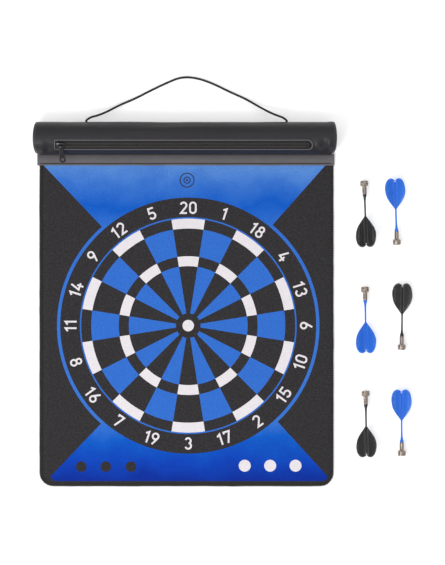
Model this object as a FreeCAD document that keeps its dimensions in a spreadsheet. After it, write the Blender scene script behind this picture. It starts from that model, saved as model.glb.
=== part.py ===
"""Roll-up magnetic dartboard with a zipped dart pouch, a carrying cord and six magnetic darts.

The board lies on its back with its printed face up: +Z is out of the print, +Y runs up the board to
the pouch, and the origin is at the height of the bullseye, midway between the board's sides, on the
back face. Sizes are in millimetres.
"""
import FreeCAD, Part
import math
import os
import Sketcher

Vector = FreeCAD.Vector
Placement = FreeCAD.Placement
Rotation = FreeCAD.Rotation

X_AXIS = Vector(1, 0, 0)
Z_AXIS = Vector(0, 0, 1)
ALONG_X = Rotation(Vector(0, 0, 1), Vector(0, -1, 0), X_AXIS, "XYZ")  # a cylinder's axis onto +X

DIMENSIONS = (
    ("mat_width", 380.0, "mat, side to side over its edge thread"),
    ("mat_bottom", 207.6, "bullseye down to the bottom edge"),
    ("mat_top", 221.0, "bullseye up to the mat's hidden top edge"),
    ("corner_radius", 18.5, "two bottom corners"),
    ("back_felt", 0.6, "thickness of the felt backing"),
    ("steel_sheet", 1.0, "thickness of the iron-filled rubber sheet"),
    ("front_felt", 0.9, "thickness of the printed felt"),
    ("thread_wrap", 0.6, "edge thread outside the cut edge"),
    ("thread_reach", 4.5, "edge thread, outline to inner side"),
    ("thread_rise", 0.4, "edge thread above the printed face"),
    ("thread_recess", 0.3, "edge thread let into the back"),
    ("strip_low", 206.5, "bullseye up to the binding strip"),
    ("crease", 221.6, "bullseye up to the crease under the pouch"),
    ("strip_left", 192.6, "binding strip, left of the middle"),
    ("strip_right", 190.9, "binding strip, right of the middle"),
    ("strip_ply", 0.8, "thickness of the front ply"),
    ("seam_line", 0.8, "width of a row of stitches"),
    ("seam_rise", 0.25, "height of a row of stitches"),
    ("seam_inset", 1.7, "strip edge to the row of stitches"),
    ("crease_gap", 0.3, "crease to the pouch's front wall"),
    ("tube_radius", 20.3, "outside radius of the pouch"),
    ("tube_wall", 1.5, "padded leatherette wall"),
    ("tube_length", 393.0, "pouch over its end panels"),
    ("tube_shift", -2.4, "middle of the pouch along X"),
    ("end_panel", 1.6, "thickness of an end panel"),
    ("window_left", -168.3, "zip window, left end"),
    ("window_right", 161.0, "zip window, right end"),
    ("window_width", 10.2, "zip window across, seen from above"),
    ("window_middle", -9.8, "zip window's middle from the tube's axis"),
    ("cord_hole", 1.55, "radius of the cord holes"),
    ("cord_exit", 129.0, "cord holes, out from the middle"),
    ("zip_angle", 30.3, "zip's middle, round from the top"),
    ("zip_slit", 1.85, "half the slit between the rows, in degrees"),
    ("tape_outer", 18.7, "outside radius of the tapes"),
    ("tape_inner", 18.2, "inside radius of the tapes"),
    ("tape_sweep", 38.0, "width of a tape, in degrees"),
    ("tape_left", -176.0, "left end of the tapes"),
    ("tape_length", 346.0, "length of the tapes"),
    ("coil_inner", 18.75, "inside radius of the coil rows"),
    ("coil_outer", 20.2, "outside radius of the coil rows"),
    ("coil_sweep", 7.2, "width of a coil row, in degrees"),
    ("coil_left", -158.0, "left end of the coil rows"),
    ("coil_length", 313.5, "length of the coil rows"),
    ("stop_length", 2.2, "zip stops along the zip"),
    ("frame_left", -170.4, "stitched frame round the window, left"),
    ("frame_right", 164.1, "stitched frame, right"),
    ("frame_low", 224.6, "stitched frame, lower line"),
    ("frame_high", 241.7, "stitched frame, upper line"),
    ("slider_place", -161.5, "slider's middle when the zip is shut"),
    ("slider_length", 11.7, "slider along the zip"),
    ("slider_width", 8.8, "slider across the zip"),
    ("plate", 1.2, "thickness of a slider plate"),
    ("plate_under", 16.2, "lower plate from the tube's axis"),
    ("plate_over", 20.55, "upper plate from the tube's axis"),
    ("flange", 1.0, "slider flange across the zip"),
    ("flange_drop", 1.8, "slider flange depth"),
    ("web_length", 3.2, "web that parts the rows, along the zip"),
    ("web", 0.6, "thickness of the web"),
    ("bar_height", 23.9, "slider's bar from the tube's axis"),
    ("bar_radius", 0.6, "radius of the slider's bar"),
    ("bar_span", 7.6, "bar with its two posts"),
    ("post", 1.2, "post along the zip"),
    ("eye_inner", 0.9, "hole of the pull's eye, radius"),
    ("eye_outer", 1.5, "pull's eye, radius"),
    ("eye_length", 4.2, "pull's eye along the bar"),
    ("pull_length", 27.5, "pull from the bar to its end"),
    ("pull_neck", 3.6, "pull's width at the eye"),
    ("pull_width", 6.6, "pull's width at its end"),
    ("pull_plate", 1.3, "thickness of the pull"),
    ("pull_slot", 1.3, "radius of the pull's oval hole"),
    ("pull_slot_length", 3.0, "oval hole between its end centres"),
    ("pull_slope", 44.0, "pull below level where it hangs, degrees"),
    ("cord_radius", 1.45, "radius of the carrying cord"),
    ("cord_start", 264.3, "where the free cord starts, along Y"),
    ("knot_radius", 3.4, "knot inside the pouch"),
    ("head_radius", 5.4, "magnetic head of a dart"),
    ("head_length", 6.2, "straight part of the head"),
    ("head_chamfer", 0.6, "chamfer on the head's face"),
    ("shoulder", 1.6, "slope from head to barrel"),
    ("barrel_radius", 2.85, "dart's barrel"),
    ("barrel_end", 17.3, "head's face to the barrel's end"),
    ("magnet_radius", 4.3, "disc magnet"),
    ("magnet_depth", 2.8, "thickness of the magnet"),
    ("magnet_sink", 0.3, "magnet below the head's rim"),
    ("pocket_radius", 4.4, "pocket that holds the magnet"),
    ("bore_radius", 1.6, "barrel's bore for the shaft"),
    ("bore_depth", 7.0, "depth of the barrel's bore"),
    ("spigot_radius", 1.5, "shaft's end in the barrel"),
    ("collar_radius", 2.5, "shaft's collar at the barrel"),
    ("collar_length", 2.6, "straight part of the collar"),
    ("taper_length", 6.0, "collar to the thin shaft"),
    ("shaft_radius", 1.15, "thin shaft"),
    ("dart_length", 85.0, "whole dart"),
    ("flight_start", 45.5, "head's face to the front of the vanes"),
    ("flight_widest", 71.0, "head's face to the widest part"),
    ("flight_radius", 18.15, "vane, axis to its widest point"),
    ("vane", 0.9, "thickness of a vane"),
    ("notch_radius", 3.2, "notch in the tail between the lobes"),
)

# One row per dart: x of its middle, y of its head, lean of its axis in plan, +1 with its head up the board.
DARTS = (
    ("dart_1", 229.1, 186.5, 1.8, 1),
    ("dart_2", 271.4, 104.6, -2.0, -1),
    ("dart_3", 230.1, 49.8, 1.0, 1),
    ("dart_4", 277.5, -30.8, 0.5, -1),
    ("dart_5", 230.9, -84.4, 0.8, 1),
    ("dart_6", 277.7, -167.6, -0.5, -1),
)

# The carrying cord as it lies, from its left hole to its right one.
CORD_ROUTE = (
    (-129.0, 264.3, 20.3),
    (-124.0, 270.2, 18.6),
    (-115.0, 272.3, 14.9),
    (-103.0, 276.0, 9.6),
    (-86.0, 284.6, 4.4),
    (-66.5, 292.6, 1.6),
    (-47.0, 302.8, 1.45),
    (-27.0, 312.4, 1.45),
    (-6.5, 321.0, 1.45),
    (14.5, 319.2, 1.45),
    (34.5, 312.0, 1.45),
    (54.5, 302.0, 1.45),
    (76.0, 292.6, 1.6),
    (94.0, 282.0, 4.9),
    (108.5, 275.0, 10.4),
    (118.6, 272.0, 15.4),
    (124.8, 269.8, 18.8),
    (129.0, 264.3, 20.3),
)

doc = FreeCAD.newDocument("magnetic_dartboard")
sheet = doc.addObject("Spreadsheet::Sheet", "dims")
size = {}
for row, (alias, number, note) in enumerate(DIMENSIONS, start=1):
    sheet.set("A%d" % row, note)
    sheet.set("B%d" % row, str(number))
    sheet.setAlias("B%d" % row, alias)
    size[alias] = number
doc.recompute()

nodes = []


def bind(item, sizes):
    """Ties properties of `item` to expressions over the sheet."""
    for name, expression in sizes.items():
        item.setExpression(name, expression)


def place(item, x, y, z, turn=None):
    """Puts `item` at three expressions, turned about X by a fourth."""
    if turn is not None:
        item.Placement = Placement(Vector(), Rotation(X_AXIS, 10))
        item.setExpression("Placement.Rotation.Angle", turn)
    bind(item, {"Placement.Base.x": x, "Placement.Base.y": y, "Placement.Base.z": z})


def node(item, label):
    """Marks `item` as a finished sub-part."""
    item.Label = label
    nodes.append(item)
    return item


def box(name, length, width, height, x, y, z):
    item = doc.addObject("Part::Box", name)
    bind(item, {"Length": length, "Width": width, "Height": height})
    place(item, x, y, z)
    return item


def cylinder(name, radius, height, x="0", y="0", z="0"):
    item = doc.addObject("Part::Cylinder", name)
    bind(item, {"Radius": radius, "Height": height})
    place(item, x, y, z)
    return item


def cut(name, base, tool):
    item = doc.addObject("Part::Cut", name)
    item.Base = base
    item.Tool = tool
    return item


def common(name, base, tool):
    item = doc.addObject("Part::Common", name)
    item.Base = base
    item.Tool = tool
    return item


def fuse(name, pieces):
    item = doc.addObject("Part::MultiFuse", name)
    item.Shapes = pieces
    return item


def sketch_on(body, role):
    """A sketch on one of the body's own origin planes."""
    sketch = body.newObject("Sketcher::SketchObject", body.Name + "_sketch")
    for plane in body.Origin.OriginFeatures:
        if plane.Role == role:
            sketch.AttachmentSupport = (plane, [""])
    sketch.MapMode = "FlatFace"
    return sketch


def limit(sketch, kind, elements, value, expression):
    """A sized constraint tied to the sheet."""
    index = sketch.addConstraint(Sketcher.Constraint(kind, *elements, value))
    sketch.setExpression("Constraints[%d]" % index, expression)


def relate(sketch, *constraints):
    for constraint in constraints:
        sketch.addConstraint(Sketcher.Constraint(*constraint))


def pad(body, sketch, length, both_ways=False):
    feature = body.newObject("PartDesign::Pad", body.Name + "_pad")
    feature.Profile = sketch
    if both_ways:
        feature.Midplane = True
    feature.setExpression("Length", length)
    sketch.Visibility = False
    return feature


def pocket(body, sketch, length, reverse=False, both_ways=False):
    """A pocket that must take material away."""
    before = body.Shape.Volume
    feature = body.newObject("PartDesign::Pocket", body.Name + "_pocket")
    feature.Profile = sketch
    feature.Reversed = reverse
    feature.Midplane = both_ways
    feature.setExpression("Length", length)
    doc.recompute()
    if body.Shape.Volume > before - 0.1:
        raise RuntimeError("%s: the pocket cuts nothing" % body.Name)
    return feature


def closed_chain(sketch, corners):
    """Straight sides joined end to end; returns the index of the first."""
    first = sketch.GeometryCount
    count = len(corners)
    for side in range(count):
        start = Vector(*corners[side], 0)
        end = Vector(*corners[(side + 1) % count], 0)
        sketch.addGeometry(Part.LineSegment(start, end))
    for side in range(count):
        relate(sketch, ("Coincident", first + side, 2, first + (side + 1) % count, 1))
    return first


def mat_plate(name, inset, top, low, height):
    """A plate with the mat's outline, `inset` inside it and ending at `top`."""
    body = doc.addObject("PartDesign::Body", name)
    sketch = sketch_on(body, "XY_Plane")
    wide = size["mat_width"]
    long = size["mat_bottom"] + size["mat_top"]
    closed_chain(sketch, ((0, 0), (wide, 0), (wide, long), (0, long)))
    relate(sketch, ("Horizontal", 0), ("Horizontal", 2), ("Vertical", 1), ("Vertical", 3))
    relate(sketch, ("Coincident", 0, 1, -1, 1))
    limit(sketch, "DistanceX", (0, 1, 0, 2), wide, "dims.mat_width - 2 * (%s)" % inset)
    limit(sketch, "DistanceY", (1, 1, 1, 2), long, "%s + dims.mat_bottom - (%s)" % (top, inset))
    solid = pad(body, sketch, height)
    doc.recompute()
    upright = []
    for index, edge in enumerate(solid.Shape.Edges, start=1):
        middle = edge.CenterOfMass
        if abs(edge.tangentAt(edge.FirstParameter).z) > 0.99 and middle.y < 1.0:
            upright.append("Edge%d" % index)
    corners = body.newObject("PartDesign::Fillet", name + "_corners")
    corners.Base = (solid, upright)
    corners.setExpression("Radius", "dims.corner_radius - (%s)" % inset)
    place(body, "-dims.mat_width / 2 + (%s)" % inset, "-dims.mat_bottom + (%s)" % inset, low)
    return body


def mat():
    """Three bonded layers, the thread sewn over their edge, and the binding strip along the top."""
    edge = "dims.thread_wrap"
    inner = "dims.thread_reach"
    sheet_low = "dims.back_felt"
    felt_low = "dims.back_felt + dims.steel_sheet"
    face = "dims.back_felt + dims.steel_sheet + dims.front_felt"
    node(mat_plate("steel_sheet_body", edge, "dims.mat_top", sheet_low, "dims.steel_sheet"), "mat_magnetic_sheet")
    node(mat_plate("front_felt_body", edge, "dims.mat_top", felt_low, "dims.front_felt"), "mat_front_felt")

    middle = mat_plate("back_middle", inner, "dims.strip_low", "0", "dims.back_felt")
    margin = mat_plate("back_margin", edge, "dims.strip_low", "dims.thread_recess",
                       "dims.back_felt - dims.thread_recess")
    node(fuse("back_felt_layers", [middle, margin]), "mat_back_felt")

    whole = mat_plate("thread_outside", "0", "dims.strip_low", "0", face + " + dims.thread_rise")
    core = mat_plate("thread_core", edge, "dims.mat_top", "dims.thread_recess", face + " - dims.thread_recess")
    hole = mat_plate("thread_hole", inner, "dims.mat_top", "-1", "10")
    node(cut("thread_band", cut("thread_shell", whole, core), hole), "edge_overlock_thread")

    wide = "dims.strip_left + dims.strip_right"
    deep = "dims.crease - dims.strip_low"
    node(box("front_ply", wide, deep, "dims.strip_ply", "-dims.strip_left", "dims.strip_low", face),
         "binding_strip_front")
    node(box("back_ply", wide, deep, "dims.back_felt", "-dims.strip_left", "dims.strip_low", "0"),
         "binding_strip_back")
    rows = []
    for name, place_y in (("lower_row", "dims.strip_low + dims.seam_inset"),
                          ("upper_row", "dims.crease - dims.seam_inset")):
        rows.append(box(name, wide + " - 4", "dims.seam_line", "dims.seam_rise", "-dims.strip_left + 2",
                        place_y + " - dims.seam_line / 2", face + " + dims.strip_ply"))
    node(fuse("strip_rows", rows), "strip_stitching")


AXIS_Y = "dims.crease + dims.crease_gap + dims.tube_radius"
AXIS_Z = "dims.tube_radius"


def tube_outline(sketch, radius, start):
    """Three quarters of a circle closed by a square corner at the crease."""
    first = sketch.GeometryCount
    circle = Part.Circle(Vector(), Z_AXIS, start)
    sketch.addGeometry(Part.ArcOfCircle(circle, -math.pi / 2, math.pi))
    sketch.addGeometry(Part.LineSegment(Vector(0, -start, 0), Vector(-start, -start, 0)))
    sketch.addGeometry(Part.LineSegment(Vector(-start, -start, 0), Vector(-start, 0, 0)))
    relate(sketch, ("Coincident", first, 3, -1, 1))
    relate(sketch, ("Tangent", first, 1, first + 1, 1), ("Tangent", first, 2, first + 2, 2))
    relate(sketch, ("Coincident", first + 1, 2, first + 2, 1))
    relate(sketch, ("Horizontal", first + 1), ("Vertical", first + 2))
    limit(sketch, "Radius", (first,), start, radius)


def window_outline(sketch):
    """The zip window from above: a square left end and a round right end."""
    half = size["window_width"] / 2
    straight = size["window_right"] - size["window_left"] - half
    sketch.addGeometry(Part.LineSegment(Vector(0, half, 0), Vector(straight, half, 0)))
    circle = Part.Circle(Vector(straight, 0, 0), Z_AXIS, half)
    sketch.addGeometry(Part.ArcOfCircle(circle, -math.pi / 2, math.pi / 2))
    sketch.addGeometry(Part.LineSegment(Vector(0, -half, 0), Vector(straight, -half, 0)))
    sketch.addGeometry(Part.LineSegment(Vector(0, -half, 0), Vector(0, half, 0)))
    relate(sketch, ("Tangent", 0, 2, 1, 2), ("Tangent", 2, 2, 1, 1))
    relate(sketch, ("Coincident", 3, 1, 2, 1), ("Coincident", 3, 2, 0, 1))
    relate(sketch, ("Horizontal", 0), ("Horizontal", 2), ("Vertical", 3))
    relate(sketch, ("PointOnObject", 1, 3, -1), ("PointOnObject", 3, 1, -2))
    limit(sketch, "Radius", (1,), half, "dims.window_width / 2")
    limit(sketch, "DistanceX", (-1, 1, 1, 3), straight,
          "dims.window_right - dims.window_left - dims.window_width / 2")


def pouch_cover():
    """The leatherette tube, with its zip window and the two cord holes in its back wall."""
    body = doc.addObject("PartDesign::Body", "cover_body")
    section = sketch_on(body, "YZ_Plane")
    outer = size["tube_radius"]
    tube_outline(section, "dims.tube_radius", outer)
    tube_outline(section, "dims.tube_radius - dims.tube_wall", outer - size["tube_wall"])
    pad(body, section, "dims.tube_length - 2 * dims.end_panel", both_ways=True)
    doc.recompute()

    window = sketch_on(body, "XY_Plane")
    window_outline(window)
    bind(window, {"AttachmentOffset.Base.x": "dims.window_left - dims.tube_shift",
                  "AttachmentOffset.Base.y": "dims.window_middle"})
    pocket(body, window, "dims.tube_radius + 1", reverse=True)

    holes = sketch_on(body, "XZ_Plane")
    for index, side in enumerate((-1, 1)):
        reach = size["cord_exit"] - side * size["tube_shift"]
        circle = Part.Circle(Vector(side * reach, 0, 0), Z_AXIS, size["cord_hole"])
        holes.addGeometry(circle)
        relate(holes, ("PointOnObject", index, 3, -1))
        limit(holes, "Radius", (index,), size["cord_hole"], "dims.cord_hole")
        ends = (-1, 1, index, 3) if side > 0 else (index, 3, -1, 1)
        limit(holes, "DistanceX", ends, reach, "dims.cord_exit - (%d) * dims.tube_shift" % side)
    pocket(body, holes, "dims.tube_radius + 1")
    place(body, "dims.tube_shift", AXIS_Y, AXIS_Z)
    return node(body, "header_cover")


def end_panel(label, x):
    body = doc.addObject("PartDesign::Body", label + "_body")
    section = sketch_on(body, "YZ_Plane")
    tube_outline(section, "dims.tube_radius", size["tube_radius"])
    pad(body, section, "dims.end_panel")
    place(body, x, AXIS_Y, AXIS_Z)
    return node(body, label)


def sector(name, inner, outer, start, sweep, x, length):
    """A strip that follows the tube: between two radii, round from `start` degrees off the top."""
    outside = doc.addObject("Part::Cylinder", name + "_outside")
    inside = doc.addObject("Part::Cylinder", name + "_inside")
    bind(outside, {"Radius": outer, "Height": length, "Angle": sweep})
    bind(inside, {"Radius": inner, "Height": length})
    for piece in (outside, inside):
        piece.Placement = Placement(Vector(), ALONG_X)
    strip = cut(name, outside, inside)
    place(strip, x, AXIS_Y, AXIS_Z, turn=start)
    return strip


def zipper():
    """Two woven tapes, the two coil rows on them, the stops, and the seam round the window."""
    upper = "dims.zip_angle - dims.zip_slit"
    lower = "dims.zip_angle + dims.zip_slit"
    for side, tape_start, coil_start in (("upper", upper + " - dims.tape_sweep", upper + " - dims.coil_sweep"),
                                         ("lower", lower, lower)):
        node(sector(side + "_tape", "dims.tape_inner", "dims.tape_outer", tape_start, "dims.tape_sweep",
                    "dims.tape_left", "dims.tape_length"), "zipper_tape_" + side)
        node(sector(side + "_coil", "dims.coil_inner", "dims.coil_outer", coil_start, "dims.coil_sweep",
                    "dims.coil_left", "dims.coil_length"), "zipper_coil_" + side)

    stops_x = "dims.coil_left - dims.stop_length - 0.2"
    stops = [sector("stop_above", "dims.coil_inner", "dims.coil_outer", upper + " - dims.coil_sweep",
                    "dims.coil_sweep", stops_x, "dims.stop_length"),
             sector("stop_below", "dims.coil_inner", "dims.coil_outer", lower, "dims.coil_sweep",
                    stops_x, "dims.stop_length")]
    node(fuse("top_stops", stops), "zipper_top_stops")
    node(sector("end_stop", "dims.coil_inner", "dims.coil_outer", upper + " - dims.coil_sweep",
                "2 * (dims.coil_sweep + dims.zip_slit)", "dims.coil_left + dims.coil_length + 0.2",
                "dims.stop_length"), "zipper_bottom_stop")

    skin = sector("seam_skin", "dims.tube_radius", "dims.tube_radius + dims.seam_rise", "-10", "90",
                  "dims.frame_left - 5", "dims.frame_right - dims.frame_left + 10")
    across = "dims.frame_right - dims.frame_left"
    up = "dims.frame_high - dims.frame_low"
    whole = box("seam_outside", across, up, "30", "dims.frame_left", "dims.frame_low", AXIS_Z)
    hole = box("seam_inside", across + " - 2 * dims.seam_line", up + " - 2 * dims.seam_line", "40",
               "dims.frame_left + dims.seam_line", "dims.frame_low + dims.seam_line", AXIS_Z)
    node(common("window_seam", cut("seam_frame", whole, hole), skin), "window_stitching")


def cord_knots():
    """Stopper knots inside the pouch, each with the stub of cord that fills its hole."""
    wall = "dims.crease + dims.crease_gap + 2 * dims.tube_radius"
    for side, x in (("left", "-dims.cord_exit"), ("right", "dims.cord_exit")):
        knot = doc.addObject("Part::Sphere", side + "_knot")
        bind(knot, {"Radius": "dims.knot_radius"})
        place(knot, x, wall + " - dims.tube_wall - dims.knot_radius - 0.2", AXIS_Z)
        stub = cylinder(side + "_stub", "dims.cord_radius", "dims.tube_wall + dims.knot_radius")
        place(stub, x, wall, AXIS_Z, turn="90")
        node(fuse(side + "_cord_end", [knot, stub]), "cord_knot_" + side)


def slider():
    """Slider: two plates joined by the web that parts the rows, with a bar for the pull on top."""
    half = "-dims.slider_length / 2"
    side = "-dims.slider_width / 2"
    top = "dims.plate_over + dims.plate"
    floor = "dims.plate_under + dims.plate"
    pieces = [box("upper_plate", "dims.slider_length", "dims.slider_width", "dims.plate",
                  half, side, "dims.plate_over"),
              box("lower_plate", "dims.slider_length", "dims.slider_width", "dims.plate",
                  half, side, "dims.plate_under"),
              box("web_piece", "dims.web_length", "dims.web", "dims.plate_over - (%s)" % floor,
                  half, "-dims.web / 2", floor)]
    for name, y in (("near_flange", side), ("far_flange", "dims.slider_width / 2 - dims.flange")):
        pieces.append(box(name, "dims.slider_length", "dims.flange", "dims.flange_drop",
                          half, y, "dims.plate_over - dims.flange_drop"))
    for name, x in (("left_post", "-dims.bar_span / 2"), ("right_post", "dims.bar_span / 2 - dims.post")):
        pieces.append(box(name, "dims.post", "3 * dims.bar_radius",
                          "dims.bar_height + dims.bar_radius - (%s)" % top,
                          x, "-1.5 * dims.bar_radius", top))
    bar = doc.addObject("Part::Cylinder", "bar")
    bind(bar, {"Radius": "dims.bar_radius", "Height": "dims.bar_span - dims.post"})
    bar.Placement = Placement(Vector(), ALONG_X)
    bind(bar, {"Placement.Base.x": "(dims.post - dims.bar_span) / 2", "Placement.Base.z": "dims.bar_height"})
    pieces.append(bar)
    whole = fuse("slider_piece", pieces)
    place(whole, "dims.slider_place", AXIS_Y, AXIS_Z, turn="dims.zip_angle")
    return node(whole, "slider_body")


def pull():
    """Pull tab: a tapering plate with an oval hole, rolled into an eye round the slider's bar."""
    body = doc.addObject("PartDesign::Body", "pull_plate_body")
    outline = sketch_on(body, "XY_Plane")
    neck = size["pull_neck"] / 2
    wide = size["pull_width"] / 2
    near = size["eye_outer"] - 0.3
    far = size["pull_length"]
    closed_chain(outline, ((-neck, -near), (-wide, -far), (wide, -far), (neck, -near)))
    relate(outline, ("Symmetric", 0, 1, 2, 2, -2), ("Symmetric", 1, 1, 1, 2, -2))
    limit(outline, "DistanceX", (0, 1, 2, 2), 2 * neck, "dims.pull_neck")
    limit(outline, "DistanceX", (1, 1, 1, 2), 2 * wide, "dims.pull_width")
    limit(outline, "DistanceY", (0, 1, -1, 1), near, "dims.eye_outer - 0.3")
    limit(outline, "DistanceY", (1, 1, -1, 1), far, "dims.pull_length")
    plate = pad(body, outline, "dims.pull_plate", both_ways=True)
    doc.recompute()
    ends = []
    for index, edge in enumerate(plate.Shape.Edges, start=1):
        if abs(edge.tangentAt(edge.FirstParameter).z) > 0.99 and edge.CenterOfMass.y < 1 - far:
            ends.append("Edge%d" % index)
    rounded = body.newObject("PartDesign::Fillet", "pull_end")
    rounded.Base = (plate, ends)
    rounded.setExpression("Radius", "0.42 * dims.pull_width")
    doc.recompute()

    slot = sketch_on(body, "XY_Plane")
    radius = size["pull_slot"]
    half = size["pull_slot_length"] / 2
    slot.addGeometry(Part.ArcOfCircle(Part.Circle(Vector(0, half, 0), Z_AXIS, radius), 0, math.pi))
    slot.addGeometry(Part.LineSegment(Vector(-radius, half, 0), Vector(-radius, -half, 0)))
    slot.addGeometry(Part.ArcOfCircle(Part.Circle(Vector(0, -half, 0), Z_AXIS, radius), math.pi, 2 * math.pi))
    slot.addGeometry(Part.LineSegment(Vector(radius, -half, 0), Vector(radius, half, 0)))
    relate(slot, ("Tangent", 0, 2, 1, 1), ("Tangent", 1, 2, 2, 1), ("Tangent", 2, 2, 3, 1),
           ("Tangent", 3, 2, 0, 1), ("Vertical", 1), ("Symmetric", 0, 3, 2, 3, -1, 1))
    limit(slot, "Radius", (0,), radius, "dims.pull_slot")
    limit(slot, "DistanceY", (2, 3, 0, 3), 2 * half, "dims.pull_slot_length")
    bind(slot, {"AttachmentOffset.Base.y": "-dims.pull_length + dims.pull_slot_length / 2 + 2.2 * dims.pull_slot"})
    pocket(body, slot, "3 * dims.pull_plate", both_ways=True)

    eye_outside = doc.addObject("Part::Cylinder", "eye_outside")
    eye_inside = doc.addObject("Part::Cylinder", "eye_inside")
    for piece, radius_of in ((eye_outside, "dims.eye_outer"), (eye_inside, "dims.eye_inner")):
        piece.Placement = Placement(Vector(), ALONG_X)
        bind(piece, {"Radius": radius_of, "Height": "dims.eye_length",
                     "Placement.Base.x": "-dims.eye_length / 2"})
    whole = cut("pull_piece", fuse("pull_solid", [body, eye_outside]), eye_inside)
    place(whole, "dims.slider_place", AXIS_Y + " - dims.bar_height * sin(dims.zip_angle * 1deg)",
          AXIS_Z + " + dims.bar_height * cos(dims.zip_angle * 1deg)", turn="dims.pull_slope")
    return node(whole, "zipper_pull")


def rounded_path(points):
    """Straight runs joined by tangent arcs, each as large as its two runs allow."""
    points = [Vector(*point) for point in points]
    edges = []
    radii = []
    at = points[0]
    for before, corner, after in zip(points, points[1:], points[2:]):
        into = corner - before
        out = after - corner
        turn = into.getAngle(out)
        reach = 0.45 * min(into.Length, out.Length)
        radii.append(reach / math.tan(turn / 2))
        into.normalize()
        out.normalize()
        start = corner - into * reach
        end = corner + out * reach
        inward = out - into
        inward.normalize()
        depth = reach / math.cos(turn / 2) * (1 - math.cos(turn / 2)) / math.sin(turn / 2)
        edges.append(Part.LineSegment(at, start).toShape())
        edges.append(Part.Arc(start, corner + inward * depth, end).toShape())
        at = end
    edges.append(Part.LineSegment(at, points[-1]).toShape())
    return Part.Wire(edges), radii


def carrying_cord():
    """The free part of the cord, hole to hole."""
    path, radii = rounded_path(CORD_ROUTE)
    radius = size["cord_radius"]
    heading = Vector(*CORD_ROUTE[1]) - Vector(*CORD_ROUTE[0])
    section = Part.Wire(Part.makeCircle(radius, Vector(*CORD_ROUTE[0]), heading))
    tube = path.makePipeShell([section], True, True)
    drawn = math.pi * radius ** 2 * path.Length
    print("cord: %.1f mm long, bends %s mm" % (path.Length, ", ".join("%.0f" % bend for bend in radii)))
    if abs(tube.Volume / drawn - 1) > 0.01:
        raise RuntimeError("the cord's volume is off")
    cord = doc.addObject("Part::Feature", "cord_piece")
    cord.Shape = tube
    return node(cord, "handle_cord")


def dart_lie(x, y, lean, up):
    """Where a dart lies: on the rim of its head and the edges of its two lower vanes."""
    low_vane = (size["flight_radius"] + size["vane"] / 2) * math.sin(math.radians(45))
    taper = size["flight_widest"] - size["flight_start"]
    tilt = 0.0
    for _ in range(10):
        height = size["head_radius"] * math.cos(tilt) - size["head_chamfer"] * math.sin(tilt)
        low_edge = math.hypot(taper * math.sin(tilt), low_vane * math.cos(tilt))
        tilt = math.asin((low_edge - height) / size["flight_widest"])
    height += 0.02
    flat = Rotation(X_AXIS, 90 * up)
    tipped = Rotation(X_AXIS, -math.degrees(tilt) * up)
    leaning = Rotation(Z_AXIS, lean * up)
    return Placement(Vector(x, y, height), leaning * tipped * flat)


def turned(name, rings):
    """Coaxial cylinders and cones standing on +Z, from (start, length, first radius, last radius) rows."""
    pieces = []
    for index, (start, length, first, last) in enumerate(rings):
        if first == last:
            pieces.append(cylinder("%s_%d" % (name, index), first, length, z=start))
            continue
        cone = doc.addObject("Part::Cone", "%s_%d" % (name, index))
        bind(cone, {"Radius1": first, "Radius2": last, "Height": length})
        place(cone, "0", "0", start)
        pieces.append(cone)
    return fuse(name, pieces)


def dart_head(label):
    """Plated steel head with a pocket for the magnet and a bore for the shaft."""
    barrel_from = "dims.head_length + dims.shoulder"
    solid = turned(label + "_turned", (
        ("0", "dims.head_chamfer", "dims.head_radius - dims.head_chamfer", "dims.head_radius"),
        ("dims.head_chamfer", "dims.head_length - dims.head_chamfer", "dims.head_radius", "dims.head_radius"),
        ("dims.head_length", "dims.shoulder", "dims.head_radius", "dims.barrel_radius"),
        (barrel_from, "dims.barrel_end - (%s)" % barrel_from, "dims.barrel_radius", "dims.barrel_radius")))
    pocket_depth = "dims.magnet_sink + dims.magnet_depth + 0.05"
    holes = fuse(label + "_holes", [
        cylinder(label + "_pocket", "dims.pocket_radius", pocket_depth + " + 1", z="-1"),
        cylinder(label + "_bore", "dims.bore_radius", "dims.bore_depth + 1", z="dims.barrel_end - dims.bore_depth")])
    return cut(label + "_head_piece", solid, holes)


def dart_flight(label):
    """Moulded shaft with four vanes: two crossed plates trimmed to a leaf-shaped outline."""
    collar_end = "dims.barrel_end + dims.collar_length"
    thin_from = collar_end + " + dims.taper_length"
    shaft = turned(label + "_shaft", (
        ("dims.barrel_end - dims.bore_depth + 0.5", "dims.bore_depth", "dims.spigot_radius", "dims.spigot_radius"),
        ("dims.barrel_end + 0.05", "dims.collar_length - 0.05", "dims.collar_radius", "dims.collar_radius"),
        (collar_end, "dims.taper_length", "dims.collar_radius - 0.6", "dims.shaft_radius"),
        (thin_from, "dims.dart_length - dims.notch_radius - (%s)" % thin_from,
         "dims.shaft_radius", "dims.shaft_radius")))
    leaf = []
    for name, length, low, high in (("_front", "dims.flight_widest - dims.flight_start", -90, 0),
                                    ("_tail", "dims.dart_length - dims.flight_widest", 0, 90)):
        half = doc.addObject("Part::Ellipsoid", label + name)
        half.Angle1 = low
        half.Angle2 = high
        bind(half, {"Radius1": length, "Radius2": "dims.flight_radius"})
        place(half, "0", "0", "dims.flight_widest")
        leaf.append(half)
    reach = "2 * dims.flight_radius + 2"
    tall = "dims.dart_length - dims.flight_start"
    plates = [box(label + "_plate_a", reach, "dims.vane", tall, "-dims.flight_radius - 1", "-dims.vane / 2",
                  "dims.flight_start"),
              box(label + "_plate_b", "dims.vane", reach, tall, "-dims.vane / 2", "-dims.flight_radius - 1",
                  "dims.flight_start")]
    vanes = common(label + "_vanes", fuse(label + "_leaf", leaf), fuse(label + "_plates", plates))
    vanes.Placement = Placement(Vector(), Rotation(Z_AXIS, 45))
    notch = doc.addObject("Part::Sphere", label + "_notch")
    bind(notch, {"Radius": "dims.notch_radius"})
    place(notch, "0", "0", "dims.dart_length")
    return cut(label + "_flight_piece", fuse(label + "_flight_solid", [shaft, vanes]), notch)


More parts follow.
